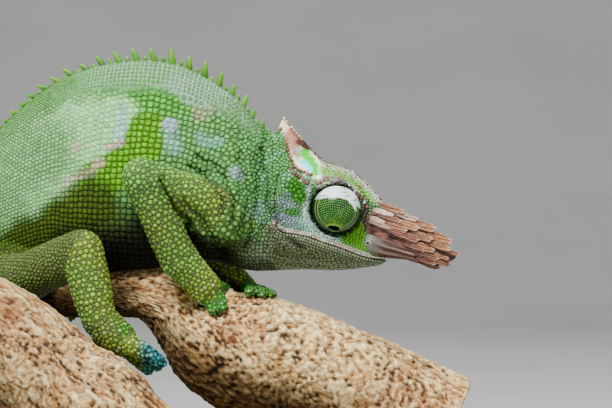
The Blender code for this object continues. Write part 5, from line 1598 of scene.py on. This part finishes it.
def sweptHorns(roots, ways, bends, lengths, widths, power, rows, sides):
    # a ring that narrows by (1 - t)^power along root + way length t + bend length t^2
    t = np.linspace(0, 1, rows)
    centre = (
        roots[:, None]
        + ways[:, None] * (lengths[:, None] * (t - 0.25 * (1 - t)))[..., None]
        + bends[:, None] * (lengths[:, None] * t**2)[..., None]
    )
    side = unit(np.cross(ways, bends))
    front = unit(np.cross(side, ways))
    turn = turns(sides)
    radius = widths[:, None] * ((1 - t) ** power * 0.97 + 0.03)
    offset = (
        radius[..., None, None] * np.cos(turn)[None, None, :, None] * front[:, None, None]
        + radius[..., None, None] * 0.7 * np.sin(turn)[None, None, :, None] * side[:, None, None]
    )
    return centre[:, :, None] + offset, t


def hornShells(rings, tints):
    # rings (pieces, rows, sides, 3) as one mesh, with each row's tint
    points, quads, fans = joinShells([closedShell(ring) for ring in rings])
    sides = rings.shape[2]
    colours = [np.vstack([np.repeat(tint, sides, axis=0), tint[:1], tint[-1:]]) for tint in tints]
    return points, [quads, fans], np.concatenate(colours)


spines = {
    "short": 0.42,  # of a tall one
    "root": 1.1, "bend": 0.16,
    "rows": (0.3, 2.0, 4.0, 5.5, 7.0, 8.0, 9.5, 11.3),  # of the trunk's table
    "spacing": (3.4, 3.8, 4.4, 4.4, 3.6, 3.0, 2.3, 2.2),
    "tall": (1.9, 3.2, 3.7, 3.5, 2.8, 2.1, 1.7, 1.5),
    "lean": (0.6, 0.35, 0.1, 0.3, 0.6, 0.9, 1.1, 1.1),
    "tail": {  # the same by length along the tail
        "rows": (0, 36, 80, 150), "spacing": (2.2, 2.0, 1.8, 1.6), "tall": (1.5, 1.0, 0.7, 0.3),
        "lean": (0.9, 0.7, 0.6, 0.6),
    },
}


def makeSpines():
    # alternately tall and short spines along the back, leaning and bending towards the tail
    roots, ways, bends, lengths, widths = [], [], [], [], []
    sets = ((trunkSurface, spines, 0.35, 11.3), (tailSurface, spines["tail"], 1.0, 150.0))
    for surface, table, first, last in sets:
        places = np.linspace(first, last, 500)
        line = surface(places, crestTurn)[:, 0]
        heights, leaning, gaps = (
            np.interp(places, table["rows"], table[word]) for word in ("tall", "lean", "spacing")
        )
        run = runAlong(line)
        steps = np.concatenate([[0], np.cumsum(np.diff(run) * 2 / gaps[1:])])
        at = np.interp(np.arange(0.05, steps[-1]), steps, run)
        count = len(at)
        foot = between(at, run, line)
        back = unit(between(at + 0.6, run, line) - foot)
        out = unit(np.cross(back, np.column_stack([back[:, 1], -back[:, 0], np.zeros(count)])))
        seated, faces, _ = seat(foot)
        normal = unit(skinNormals[skinQuads[faces]].mean(axis=1))
        out = np.where(((out * normal).sum(1) < 0)[:, None], -out, out)
        size = np.interp(at, run, heights)
        tallOne = np.arange(count) % 2 == 1
        length = size * np.where(tallOne, 1.0, spines["short"]) * (0.8 + 0.3 * chance.random(count))
        lean = np.interp(at, run, leaning)[:, None] + 0.24 * (chance.random((count, 1)) - 0.5)
        roots.append(seated)
        ways.append(unit(out + back * lean))
        bends.append(back * spines["bend"])
        lengths.append(length)
        widths.append(spines["root"] * (0.45 + 0.17 * length))
    groups = [np.concatenate(group) for group in (roots, ways, bends, lengths, widths)]
    rings, t = sweptHorns(*groups, 0.58, 7, 9)
    count, t = len(rings), t[None, :, None]
    tip = blendTint(palette["yellowGreen"] * 0.9, palette["toeGreen"], chance.random(count) * 0.4)
    # painted shade at each spine's root, deeper on half of them
    darkRoot = np.where(chance.random((count, 1)) < 0.5, 0.1, 0.45)[:, :, None]
    shade = darkRoot * (1 - t) + 1.05 * t
    tints = tip[:, None] * shade * (0.85 + 0.3 * chance.random((count, 1, 1)))
    finish(makePiece("backSpines", *hornShells(rings, tints)), spinePaint, "spine")


def makeClaws():
    # short hooked claws from the toes' ends, pale horn with dark tips
    roots, ways, inward = np.array(clawRoots).transpose(1, 0, 2)
    inward = unit(inward - (inward * ways).sum(1, keepdims=True) * ways)
    lengths, widths = np.full(len(roots), toe["claw"]), np.full(len(roots), toe["clawRoot"])
    rings, t = sweptHorns(roots - ways * 0.3, ways, inward * 0.28, lengths, widths, 0.8, 8, 10)
    shade = ink(74, 62, 48) * (1 - t[:, None]) + ink(18, 14, 12) * t[:, None]
    finish(makePiece("claws", *hornShells(rings, [shade] * len(roots))), clawPaint, "claw")


makeSpines()
makeClaws()


# Eyes: a scaly turret with a small lid opening, and the eye behind it

def eyeFrame(side):
    # centre, and the ways along the gaze, across the opening and up it
    centre = np.array(eye["centre"]) * (1, side, 1)
    gaze = unit(eye["gaze"]) * (1, side, 1)
    across = unit(np.cross((0, side, 0), gaze))
    across = across * np.sign(across[0])
    up = np.cross(gaze, across)
    up = up * np.sign(up[2]) if abs(up[2]) > 0.05 else up
    return centre, gaze, across, up


def fromGaze(frame, angle, turn):
    # the ways at an angle from the gaze and a turn round it
    _, gaze, across, up = frame
    around = np.cos(turn)[..., None] * across + np.sin(turn)[..., None] * up
    return np.cos(angle)[..., None] * gaze + np.sin(angle)[..., None] * around


def lidEdge(turn):
    # the angle from the gaze at which the lid opening's edge lies
    wide, high = np.array(eye["opening"]) / eye["radius"]
    return 1 / np.sqrt((np.cos(turn) / wide) ** 2 + (np.sin(turn) / high) ** 2)


def paleLidSheen(points):
    # the pale upper lid, partly pale skin and partly a painted reflection of the light: above an arch over
    # the granules, and in a spur down its front
    x, z = points[..., 0] - eye["centre"][0], points[..., 2] - eye["centre"][2]
    arch = ramp(2.5, 3.0, z + 0.05 * x**2 * (x > 0) + 0.02 * x**2 + 0.04 * x)
    flat = np.stack([x, z], axis=-1).reshape(-1, 2)
    spur = 1 - ramp(0.2, 0.45, lineDistance(flat, [(2.8, 2.4), (4.1, 1.2), (4.8, -0.4)])).reshape(x.shape)
    return np.maximum(arch, spur)


def makeTurret(side, word):
    # a sphere round the gaze. Inside the opening it folds inwards, and far from the side's axis it rises in
    # ring folds
    frame = eyeFrame(side)
    centre = frame[0]
    turn = turns(180)[None]
    edge = lidEdge(turn)
    t = np.linspace(0, 1, 110)[:, None]
    angle = np.vstack([edge * np.linspace(0.8, 0.98, 8)[:, None], edge + (2.2 - edge) * t**1.1])
    sunk = np.vstack([np.linspace(1.7, 0.15, 8)[:, None], 0 * t])
    way = fromGaze(frame, angle, turn)
    fromSide = np.arccos(np.clip(way[..., 1] * side, -1, 1))
    rim = np.exp(-(((angle - edge) * eye["radius"] / 0.5) ** 2))
    fold = ramp(eye["cap"] - 0.04, eye["cap"] + 0.06, fromSide)
    ridge = (0.5 + 0.5 * np.cos((fromSide - eye["cap"] - 0.05) * 2 * math.pi / 0.19)) ** 0.7
    points = centre + way * eye["radius"]
    white = paleLidSheen(points)
    streaks = noise(points * (0.35, 0.35, 1.6) + 0.6 * noise(points, 2.0)[..., None], 0.8)
    radius = eye["radius"] - 0.34 - sunk + 0.26 * rim * (sunk == 0)
    radius = radius + fold * (0.3 * ridge - 0.02) * (1 - 0.7 * white)
    radius = radius + white * (0.1 + 0.12 * (streaks - 0.5))
    points = centre + radius[..., None] * way
    # painted shade: near black between the granules, in the troughs of the ring folds and towards the socket;
    # the opening's rim is its own yellow-green
    tint = blendTint(ink(14, 28, 6), ink(126, 172, 30), rim)
    folds = blendTint(ink(6, 8, 3), ink(104, 150, 62), ridge**4)
    folds = folds * (1 - 0.85 * ramp(eye["cap"] + 0.24, eye["cap"] + 0.36, fromSide))[..., None]
    tint = tint + (folds - tint) * fold[..., None]
    # the pale lid: partly pale skin, partly a painted reflection of the light, streaked with green
    lidTint = blendTint(palette["lidSheenWhite"], ink(112, 160, 128), ramp(0.5, 0.72, streaks) * 0.75)
    tint = tint + (lidTint - tint) * (white * (0.8 + 0.2 * ridge))[..., None]
    # painted shade: the sunk rows inside the opening are near black
    tint[:8] = ink(9, 9, 7)
    flat = points.reshape(-1, 3)
    quads = gridFaces(len(points), 180)
    normal = np.cross(flat[quads[:, 2]] - flat[quads[:, 0]], flat[quads[:, 3]] - flat[quads[:, 1]])
    outward = (normal * (flat[quads].mean(axis=1) - centre)).sum(1)
    if outward[len(quads) // 2:].mean() < 0:
        quads = quads[:, ::-1]
    piece = makePiece("eyeTurret" + word, flat, [quads], tint.reshape(-1, 3))
    finish(piece, lidPaint, "lid_skin", "eye_turret_" + word.lower())


def makeLidScales(side, word):
    # rings of small granules round the opening, each a low dome, larger away from it
    frame = eyeFrame(side)
    centre, gaze, across, up = frame
    ways, sizes = [], []
    angle = 0.13
    while angle < 1.95:
        step = 0.50 + 0.16 * min(1.0, angle / 1.2)
        count = max(8, int(2 * math.pi * math.sin(min(angle + 0.2, 1.57)) * eye["radius"] / step))
        turn = turns(count, 0.5 * (len(ways) % 2))
        ways.append(fromGaze(frame, lidEdge(turn) * np.exp(-angle / 0.5) + angle, turn))
        sizes.append(np.full(count, step))
        angle += step / eye["radius"] * 0.98
    ways, sizes = np.vstack(ways), np.concatenate(sizes)
    onCap = ways[:, 1] * side > math.cos(eye["cap"])
    onCap &= paleLidSheen(centre + ways * eye["radius"]) < 0.5
    ways, sizes = ways[onCap], sizes[onCap]
    first = unit(np.cross(ways, gaze))
    second = np.cross(ways, first)
    count = 7
    turn = turns(count)
    around = np.cos(turn)[None, :, None] * first[:, None] + np.sin(turn)[None, :, None] * second[:, None]
    root = centre + ways * (eye["radius"] - 0.32)
    layers = [
        (root + ways * (lift * sizes / 0.6)[:, None])[:, None] + (sizes * shrink)[:, None, None] * around
        for shrink, lift in ((0.47, -0.1), (0.41, 0.08), (0.22, 0.15))
    ]
    points = np.concatenate([*layers, (root + ways * (0.17 * sizes / 0.6)[:, None])[:, None]], axis=1)
    fromMiddle = np.arccos(np.clip(ways @ gaze, -1, 1))
    base = blendTint(palette["eyeGreen"], ink(40, 104, 34), ramp(0.3, 0.7, noise(root, 2.2)) * 0.7)
    base = blendTint(base, ink(112, 168, 30), 1 - ramp(0.16, 0.5, fromMiddle))
    base = base * (0.65 + 0.7 * chance.random((len(ways), 1)))
    # painted shade at each granule's foot and a painted highlight on its top
    tints = [np.repeat((base * shade)[:, None], count, axis=1) for shade in (0.07, 0.46, 0.9)]
    tints = np.concatenate([*tints, base[:, None] * 1.25], axis=1)
    quads, fans = domeFaces(len(ways), count)
    flat = points.reshape(-1, 3)
    a, b, c = (flat[fans[:, k]] for k in range(3))
    if (np.cross(b - a, c - a) * (a - centre)).sum() < 0:
        quads, fans = quads[:, ::-1], fans[:, ::-1]
    longitude = np.arctan2((ways * up).sum(1), (ways * across).sum(1)) / (2 * math.pi) + 0.5
    centres = np.column_stack([0.01 + 0.98 * longitude, 0.01 + 0.98 * fromMiddle / math.pi])
    bakeMap = domePatches(centres, np.column_stack([np.cos(turn), np.sin(turn)]))
    piece = makePiece("eyeLidScales" + word, flat, [quads, fans], tints.reshape(-1, 3), bakeMap)
    finish(piece, lidPaint, "lid_skin")


def makeEyeball(side, word):
    # a ball behind the opening: black pupil in the middle, a thin brown ring, then dark
    frame = eyeFrame(side)
    fall = np.linspace(0.01, math.pi - 0.01, 48)[:, None]
    turn = turns(64)[None]
    radius = eye["ball"] + 0.12 * np.exp(-((fall / 0.22) ** 2)) + 0 * turn
    points, quads, fans = closedShell(frame[0] + radius[..., None] * fromGaze(frame, fall, turn))
    ring = np.exp(-(((fall + 0 * turn - 0.2) / 0.035) ** 2))
    tint = blendTint(ink(8, 7, 6), ink(120, 84, 30), ring).reshape(-1, 3)
    piece = makePiece("eyeball" + word, points, [quads, fans], np.vstack([tint, ink(4, 4, 4), ink(8, 8, 8)]))
    finish(piece, eyeMaterial, "eyeball", "eyeball_" + word.lower())


eyeMaterial = eyePaint()
for side, word in ((near, "Right"), (far, "Left")):
    makeTurret(side, word)
    makeLidScales(side, word)
    makeEyeball(side, word)


# Nose: a smooth swelling before each horn's root that runs on under its plates, with the nostril at its back

nose = {
    "start": (66.9, 4.2, 80.5), "run": (12.5, 0.6, -3.1), "high": 2.75, "thick": 2.15, "lastHigh": 1.5,
    "round": 0.17, "nostril": (68.15, 80.3), "ribs": 0.15,
    "lips": [  # of the nostril's rim: radius and lift of each ring
        (0.02, 0.04), (0.26, 0.04), (0.36, 0.1), (0.48, 0.2), (0.66, 0.18), (0.85, 0.04), (1.0, -0.25),
    ],
}


def makeNose(side, word):
    # an ellipse along a straight run, which opens by sqrt(1 - (1 - p / round)^2) and then narrows evenly.
    # Ribs by sin(9 v) rise towards its front
    p = (np.linspace(0.0, 1, 44) ** 1.4)[:, None]
    p[0] = 0.0008
    turn = turns(40)[None]
    swell = np.sqrt(1 - (1 - np.clip(p / nose["round"], 0, 1)) ** 2)
    taper = 1 - (1 - nose["lastHigh"] / nose["high"]) * ramp(nose["round"], 1.0, p)
    v = np.sin(turn)
    waves, front = np.sin(9 * v + 2.0 * p + side), ramp(0.2, 0.45, p)
    ribs = nose["ribs"] * waves * front
    start, run = np.array(nose["start"]), np.array(nose["run"])
    high = nose["high"] * swell * taper * v
    thick = nose["thick"] * swell * (0.6 + 0.4 * taper) * np.cos(turn) + ribs * np.cos(turn)
    centre = start + p[..., None] * run
    rings = centre + np.stack([0 * high, thick, high], axis=-1)
    rings[..., 1] *= side
    points, quads, fans = closedShell(rings)
    white, dark = palette["noseWhite"], palette["hornDark"]
    shift = 0.05 * np.sin(7 * v + 1) * ramp(0.1, 0.3, p)
    stops = np.array([white, white * 0.66, white * 0.3 + dark * 0.4, dark * 0.8, dark])
    tint = between(np.interp(p + shift, [0.0, 0.08, 0.24, 0.4, 1.0], np.arange(5.0)), np.arange(5), stops)
    tint = tint * (0.8 + 0.4 * noise(rings, 0.8))[..., None]
    tint = blendTint(tint, palette["hornPale"], ramp(0.3, 0.9, waves) * front * 0.22)
    tint = blendTint(tint, palette["subEye"] * 0.4, ramp(-0.4, -0.95, v) * ramp(0.35, 0.2, p) * 0.6)
    tint = np.vstack([tint.reshape(-1, 3), tint[0, :1], tint[-1, :1]])
    finish(makePiece("nose" + word, points, [quads, fans], tint), hornPaint, "head_skin")

    # the nostril, a pit with a raised rim, its inside painted near black as shade, where the side's ray meets
    # the swelling
    tree = BVHTree.FromPolygons(points.tolist(), quads.tolist())
    x, z = nose["nostril"]
    place, normal, _, _ = tree.ray_cast((x, side * 60.0, z), (0, -side, 0))
    place, normal = np.array(place), np.array(normal)
    normal = normal * np.sign(normal[1] * side)
    across = unit(np.cross(normal, (0, 0, 1)))
    up = np.cross(across, normal)
    turn = turns(28)[None]
    radius, lift = np.array(nose["lips"]).T[:, :, None, None]
    around = np.cos(turn)[..., None] * across * 0.9 + np.sin(turn)[..., None] * up * 0.8
    points, quads, fans = closedShell(place + radius * around + lift * normal)
    shade = np.array([ink(6, 5, 5), ink(8, 7, 7), ink(30, 26, 24), ink(120, 114, 104), white, white, white])
    tint = np.vstack([np.repeat(shade, 28, axis=0), shade[:1], shade[-1:]])
    finish(makePiece("nostril" + word, points, [quads, fans], tint), hornPaint, "head_skin")


for side, word in ((near, "Right"), (far, "Left")):
    makeNose(side, word)


# Horns: a flat blade clad in overlapping plates that point forward

horn = {
    "rows": [  # x, top z, bottom z, half thickness, distance from the middle plane
        (65.5, 88.6, 83.5, 1.2, 3.3), (69.0, 89.3, 79.4, 1.7, 3.7), (73.0, 88.6, 77.6, 1.8, 4.0),
        (77.0, 86.8, 76.0, 1.7, 4.3), (81.0, 84.7, 74.9, 1.5, 4.6), (85.0, 81.6, 74.5, 1.2, 5.0),
        (88.0, 79.2, 75.6, 0.9, 5.3), (89.4, 77.9, 76.7, 0.4, 5.4),
    ],
    "plates": [  # back x, front x, top z and bottom z of the front edge, relief, colour
        (69.2, 73.4, 88.3, 86.2, 0.5, "hornPale"), (70.4, 76.1, 89.2, 86.9, 0.9, "hornTan"),
        (75.0, 79.3, 87.4, 85.2, 0.9, "hornPale"), (78.2, 83.6, 85.3, 82.5, 1.0, "hornTan"),
        (82.6, 87.5, 82.5, 79.6, 0.9, "hornTan"),
        (68.6, 71.6, 86.4, 84.6, 0.5, "hornPale"), (70.6, 75.2, 86.8, 84.7, 0.8, "hornPink"),
        (74.4, 79.6, 85.4, 82.8, 1.0, "hornTan"), (78.4, 82.8, 82.7, 80.2, 1.1, "hornTan"),
        (82.0, 87.2, 80.3, 77.9, 1.0, "hornTan"), (85.4, 89.5, 78.6, 76.9, 0.7, "hornPink"),
        (68.4, 73.2, 85.0, 83.1, 0.5, "hornPale"), (71.8, 76.6, 84.8, 82.4, 0.9, "hornTan"),
        (75.4, 79.6, 82.5, 80.1, 1.0, "hornPink"), (78.6, 83.2, 80.1, 77.6, 1.1, "hornTan"),
        (82.2, 86.6, 77.8, 75.9, 1.0, "hornTan"),
        (68.6, 73.6, 83.9, 82.5, 0.2, "hornDark"), (70.4, 76.4, 84.1, 82.0, 0.6, "hornPink"),
        (72.0, 77.8, 82.9, 80.9, 0.7, "hornPink"), (73.2, 78.8, 81.4, 79.6, 0.6, "hornDark"),
        (76.2, 81.2, 79.9, 77.8, 0.8, "hornPink"),
        (79.6, 84.4, 77.7, 75.7, 0.8, "hornPink"), (82.4, 87.2, 75.9, 74.3, 0.7, "hornTan"),
        (74.2, 80.6, 78.4, 76.7, 0.6, "hornDark"), (73.4, 79.8, 77.2, 75.6, 0.4, "hornDark"),
        (78.6, 83.6, 76.3, 74.6, 0.7, "hornPink"), (80.4, 84.6, 75.2, 73.7, 0.5, "hornDark"),
    ],
}
hornTable = np.array(horn["rows"])


def hornAt(x):
    return flow(hornTable[:, 0], hornTable[:, 1:], x)


def plateSlab(side, face, back, front, top, bottom, relief, base):
    # p along and q up the slab: x runs on a little in the middle of its front. Towards its front the upper
    # edge falls by 0.2 and the lower edge by 0.42 of its length, and its face rises by 0.3 + 0.7 p^1.5 of the
    # relief, ribbed along and bevelled round
    p = np.linspace(0, 1, 17)[:, None]
    q = np.linspace(-1, 1, 19)[None]
    long = front - back
    edge, tip = np.abs(q) ** 8 + 0 * p, ramp(0.88, 1.0, p) + 0 * q
    wave = chance.random(4)
    x = back + long * p + (1.1 * (1 - np.abs(q)**1.5) - 0.6 * q * (wave[0] - 0.2)) * p**3 * min(1.0, long / 4)
    upper = top + 0.2 * long * (1 - p)
    lower = bottom + 0.42 * long * (1 - p)
    z = lower + (upper - lower) * (0.5 + 0.5 * q * (1 - 0.34 * ramp(0.5, 1.0, p)))
    core = hornAt(x.ravel()).reshape(17, 19, 4)
    share = np.clip((z - core[..., 1]) / (core[..., 0] - core[..., 1]) * 2 - 1, -1, 1)
    ribs = np.sin(q * (6 + 4 * wave[1]) + 6 * wave[2] + 0.8 * p) + 0.5 * np.sin(q * 15 + 6 * wave[3])
    rise = core[..., 2] * (1 - share**4) ** 0.5 + relief * (0.3 + 0.7 * p**1.5)
    rise = rise + 0.1 * ribs * (0.4 + 0.6 * p) - 0.26 * np.maximum(edge, tip) + 0.02
    outer = np.stack([x, side * (core[..., 3] + face * rise), z], axis=-1)
    inner = np.stack([x - 0.2 * p, side * (core[..., 3] - face * 0.1 + 0 * x), z], axis=-1)
    # painted shade: each plate is dark at its root, under the plate before it, and lighter towards its front
    # and on its ribs' crests
    bright = (0.34 + 0.8 * p**1.3) * (0.9 + 0.16 * ribs) * (0.75 + 0.5 * noise(outer, 0.7))
    # pale edges: partly the horn's own pale rims, partly a painted highlight
    paleEdgeSheen = np.maximum(tip * 0.5, edge * 0.3 * p) * (0.2 if base.sum() < 0.3 else 1.0)
    tint = blendTint(base * bright[..., None], palette["hornPale"], paleEdgeSheen)
    # painted shade on the plate's underside
    tint = np.concatenate([tint, np.broadcast_to(base * 0.5, tint.shape)], axis=1)
    tint = np.vstack([tint.reshape(-1, 3), base * 0.3, base * 0.7])
    return closedShell(np.concatenate([outer, inner[:, ::-1]], axis=1)), tint


def makeHorn(side, word):
    # a core whose section is a rounded blade, clad on both faces with slabs
    stations = np.linspace(hornTable[0, 0], hornTable[-1, 0], 60)
    top, bottom, thick, middle = hornAt(stations).T[:, :, None]
    turn = turns(120)
    z = (top + bottom) / 2 + (top - bottom) / 2 * 0.92 * np.cos(turn)
    y = side * (middle + thick * np.sign(np.sin(turn)) * np.abs(np.sin(turn)) ** 0.6)
    x = np.broadcast_to(stations[:, None], z.shape)
    streaks = fractal(np.stack([x / 5, y, z], axis=-1), 0.55, 2)
    y = y + side * np.sin(turn) * 0.5 * (streaks - 0.4)
    shells = [closedShell(np.stack([x, y, z], axis=-1))]
    streaks = np.append(ramp(0.35, 0.7, streaks).ravel(), [0.5, 0.5])
    # the core is dark as painted shade in the gaps between the plates, streaked with pink
    tints = [blendTint(palette["hornDark"] * 0.4, palette["hornPink"], streaks * 0.7)]
    for face in (1, -1):
        for back, front, top, bottom, relief, name in horn["plates"]:
            base = palette[name] * (0.8 + 0.35 * chance.random())
            base = base + (palette["hornPink"] - base) * (0.45 * chance.random())
            shell, tint = plateSlab(side, face, back, front, top, bottom, relief, base)
            shells.append(shell)
            tints.append(tint)
    points, quads, fans = joinShells(shells)
    piece = makePiece("horn" + word, points, [quads, fans], np.vstack(tints), sharp=40)
    finish(piece, hornPaint, "horn_scale", "horn_" + word.lower())


for side, word in ((near, "Right"), (far, "Left")):
    makeHorn(side, word)


# Perch: two cut lengths of branch with fissured bark and sawn ends

bark = {
    "rows": 330, "sides": 276,
    "light": ink(255, 232, 172), "mid": ink(200, 160, 106), "dark": ink(66, 46, 32),
    "rust": ink(176, 104, 62), "wood": ink(206, 172, 120),
    # a swelling on top: x of its middle, half length, height
    "ridges": {"perch_front": (12.5, 13.0, 3.6), "perch_rear": (2.5, 6.5, 1.3)},
    "caps": (0.985, 0.97, 0.9, 0.8, 0.7, 0.6, 0.5, 0.4, 0.3, 0.2, 0.1, 0.03),  # rings of the sawn ends
}


def makeBranch(name, pieceName, seed, stretch, chipDepth, grain):
    # the solids' lumpy section, with a swelling on top, roughened by chips of bark stretched along the
    # branch, by long cracks, and by crumbs. The colour follows the height: dark pits, tan, and pale tops,
    # partly the bark's own colour, partly painted shade in the pits and painted highlight on the tops
    at, path, radius, along, across, up = perchFrame(name, bark["rows"])
    turn = turns(bark["sides"])
    twist = at[:, None] / 17.0
    lumps = 0.022 * np.sin(3 * turn + twist) + 0.018 * np.sin(5 * turn - 1.7 * twist)
    reach = radius[:, None] * (1 + lumps)
    wide = radius.mean()
    place = [at[:, None] + 0 * turn, wide * np.cos(turn) + 0 * twist, wide * np.sin(turn) + 0 * twist]
    place = np.stack(place, axis=-1)
    bend = np.stack([fractal(place + 13 * c + seed, 7.0, 2) for c in range(3)], axis=-1) - 0.5
    place = place + bend * 3.0 + seed
    chips = fractal(place / (stretch, 1, 1), grain, 2)
    crumbs = noise(place / (1.3, 1, 1) + 90, 0.5)
    lobes = fractal(place / (1.6, 1, 1) + 70, 7.0, 2)
    cracks = ramp(0.84, 0.99, 1 - np.abs(2 * fractal(place / (stretch * 1.6, 1, 1) + 30, 1.3, 2) - 1))
    lift = (lobes - 0.5) * 1.2 + (chips - 0.5) * chipDepth + (crumbs - 0.5) * 0.4 - cracks * 0.32 - 0.1
    lift = lift * ramp(0.0, 1.0, np.minimum(at, at[-1] - at)[:, None])
    middle, half, height = bark["ridges"][name]
    lift = lift + height * np.exp(-(((path[:, :1] - middle) / half) ** 4)) * np.clip(np.cos(turn), 0, 1) ** 2
    reach = reach + lift * np.clip(radius[:, None] / 9, 0.5, 1)
    rings = path[:, None] + (reach * np.cos(turn))[..., None] * up[:, None]
    rings = rings + (reach * np.sin(turn))[..., None] * across[:, None]
    share = 0.6 + (chips - 0.5) * 1.2 + (crumbs - 0.5) * 1.1 + (lobes - 0.5) * 0.6 - cracks * 0.3
    share = np.clip(share, 0, 1)
    tint = blendTint(bark["dark"], bark["mid"], ramp(0.0, 0.5, share))
    tint = blendTint(tint, bark["light"], ramp(0.45, 1.0, share))
    warm = blendTint(1.0, np.array([1.0, 0.8, 0.56]), ramp(0.45, 0.7, noise(place + 44, 1.7)) * 0.7)
    patch = np.exp(-(((rings[..., 0] + 17.0) / 4.5) ** 2) - (((rings[..., 2] - 64.5) / 3.6) ** 2))
    rusty = ramp(0.6, 0.72, fractal(place + 11, 6.0, 2)) * 0.5 + 1.8 * patch * ramp(0.1, 0.4, crumbs)
    tint = blendTint(tint * warm, tint * 0.35 + bark["rust"] * 0.65, np.clip(rusty, 0, 1) * 0.75)
    # painted shade: the bark darkens towards its underside, and the front branch more under the body
    undersideShade = ramp(0.35, -0.6, np.cos(turn) + 0 * share) * (0.62 if name == "perch_rear" else 0.86)
    if name == "perch_front":
        bodyShadow = ramp(18.0, 7.0, rings[..., 0]) * (0.45 + 0.45 * ramp(0.9, 0.3, np.cos(turn)))
        undersideShade = np.maximum(undersideShade, bodyShadow)
    tint = tint * np.clip(1 - undersideShade[..., None] * (1, 1.02, 1.06), 0.03, 1)
    if name == "perch_rear":
        tint = tint * 0.85
    inner = np.array(bark["caps"])
    caps = []
    for end, way in ((0, -1), (-1, 1)):
        cap = path[end] + (rings[end] - path[end])[None] * inner[:, None, None]
        rough = 0.3 * ramp(1.0, 0.96, inner)[:, None] + 0.12 * (noise(cap, 0.9) - 0.5)
        cap = cap + along[end] * way * rough[..., None]
        years = 0.5 + 0.5 * np.sin(inner[:, None] * radius[end] * 5.0 + 3 * noise(cap, 6.0))
        caps.append((cap, blendTint(bark["wood"], bark["mid"], years * 0.6)))
    rings = np.concatenate([caps[0][0][::-1], rings, caps[1][0]])
    tint = np.concatenate([caps[0][1][::-1], tint, caps[1][1]])
    points, quads, fans = closedShell(rings)
    tint = np.vstack([tint.reshape(-1, 3), bark["wood"], bark["wood"]])
    finish(makePiece(pieceName, points, [quads, fans], tint), barkMaterial, "bark", name)


barkMaterial = barkPaint()
makeBranch("perch_front", "branchFront", 3.0, 1.6, 1.1, 0.66)
makeBranch("perch_rear", "branchRear", 57.0, 4.5, 1.0, 0.8)


# Stand: the solids' own board and rods, refinished

standPaints = ((boardPaint(), ["stand_base"]), (metalPaint(), ["stand_rod_front", "stand_rod_rear"]))
for material, nodeNames in standPaints:
    for nodeName in nodeNames:
        for slot in frame["nodes"][nodeName].material_slots:
            slot.material = material


# Studio, in metres: a pale floor, a soft key from the upper left in front, a top light, a fill, and a pale
# surround

studio = {
    "half": 4.0, "front": -3.0, "bend": 1.2, "radius": 1.0, "wall": 3.0,  # of the floor
    "lamps": {  # place, size and power
        "key": ((-0.35, -0.7, 1.15), 0.42, 38.0), "top": ((0.05, -0.1, 1.1), 0.8, 7.0),
        "fill": ((0.9, -0.8, 0.35), 0.8, 3.0),
    },
    "aim": (0.02, 0.0, 0.085), "surround": 0.34,
    "camera": (0.0532, -0.6, 0.0898), "lens": 144.6, "sensor": 36.0,
}


def makeFloor():
    # flat, then a quarter circle up into a wall
    turn = np.linspace(0, math.pi / 2, 25)
    bend, radius = studio["bend"], studio["radius"]
    y = np.concatenate([[studio["front"]], bend + radius * np.sin(turn), [bend + radius]])[:, None]
    z = np.concatenate([[0.0], radius * (1 - np.cos(turn)), [studio["wall"]]])[:, None]
    x = np.array([-studio["half"], studio["half"]])
    points = np.stack([x + 0 * y, y + 0 * x, z + 0 * x], axis=-1).reshape(-1, 3) / mm
    first = 2 * np.arange(len(y) - 1)
    floor = makePiece("floor", points, [np.column_stack([first, first + 1, first + 3, first + 2])])
    floor.data.materials.append(floorPaint())


def makeLamp(name, place, size, power):
    lamp = bpy.data.lights.new(name, "AREA")
    lamp.shape, lamp.size, lamp.energy = "DISK", size, power
    made = bpy.data.objects.new(name, lamp)
    made.location = place
    made.rotation_euler = (Vector(studio["aim"]) - Vector(place)).to_track_quat("-Z", "Y").to_euler()
    bpy.context.scene.collection.objects.link(made)


def makeSurround():
    world = bpy.data.worlds.new("surround")
    bpy.context.scene.world = world
    world.use_nodes = True
    world.node_tree.nodes["Background"].inputs["Color"].default_value = (0.92, 0.95, 1.0, 1.0)
    world.node_tree.nodes["Background"].inputs["Strength"].default_value = studio["surround"]


def makeCamera():
    # level, looking along +Y from the distance and with the lens that give the photograph's framing
    lens = bpy.data.cameras.new("camera")
    lens.lens, lens.sensor_width, lens.clip_start = studio["lens"], studio["sensor"], 0.01
    camera = bpy.data.objects.new("camera", lens)
    camera.location = studio["camera"]
    camera.rotation_euler = (math.pi / 2, 0, 0)
    bpy.context.scene.collection.objects.link(camera)
    bpy.context.scene.camera = camera


makeFloor()
for lampName, lampValues in studio["lamps"].items():
    makeLamp(lampName, *lampValues)
makeSurround()
makeCamera()
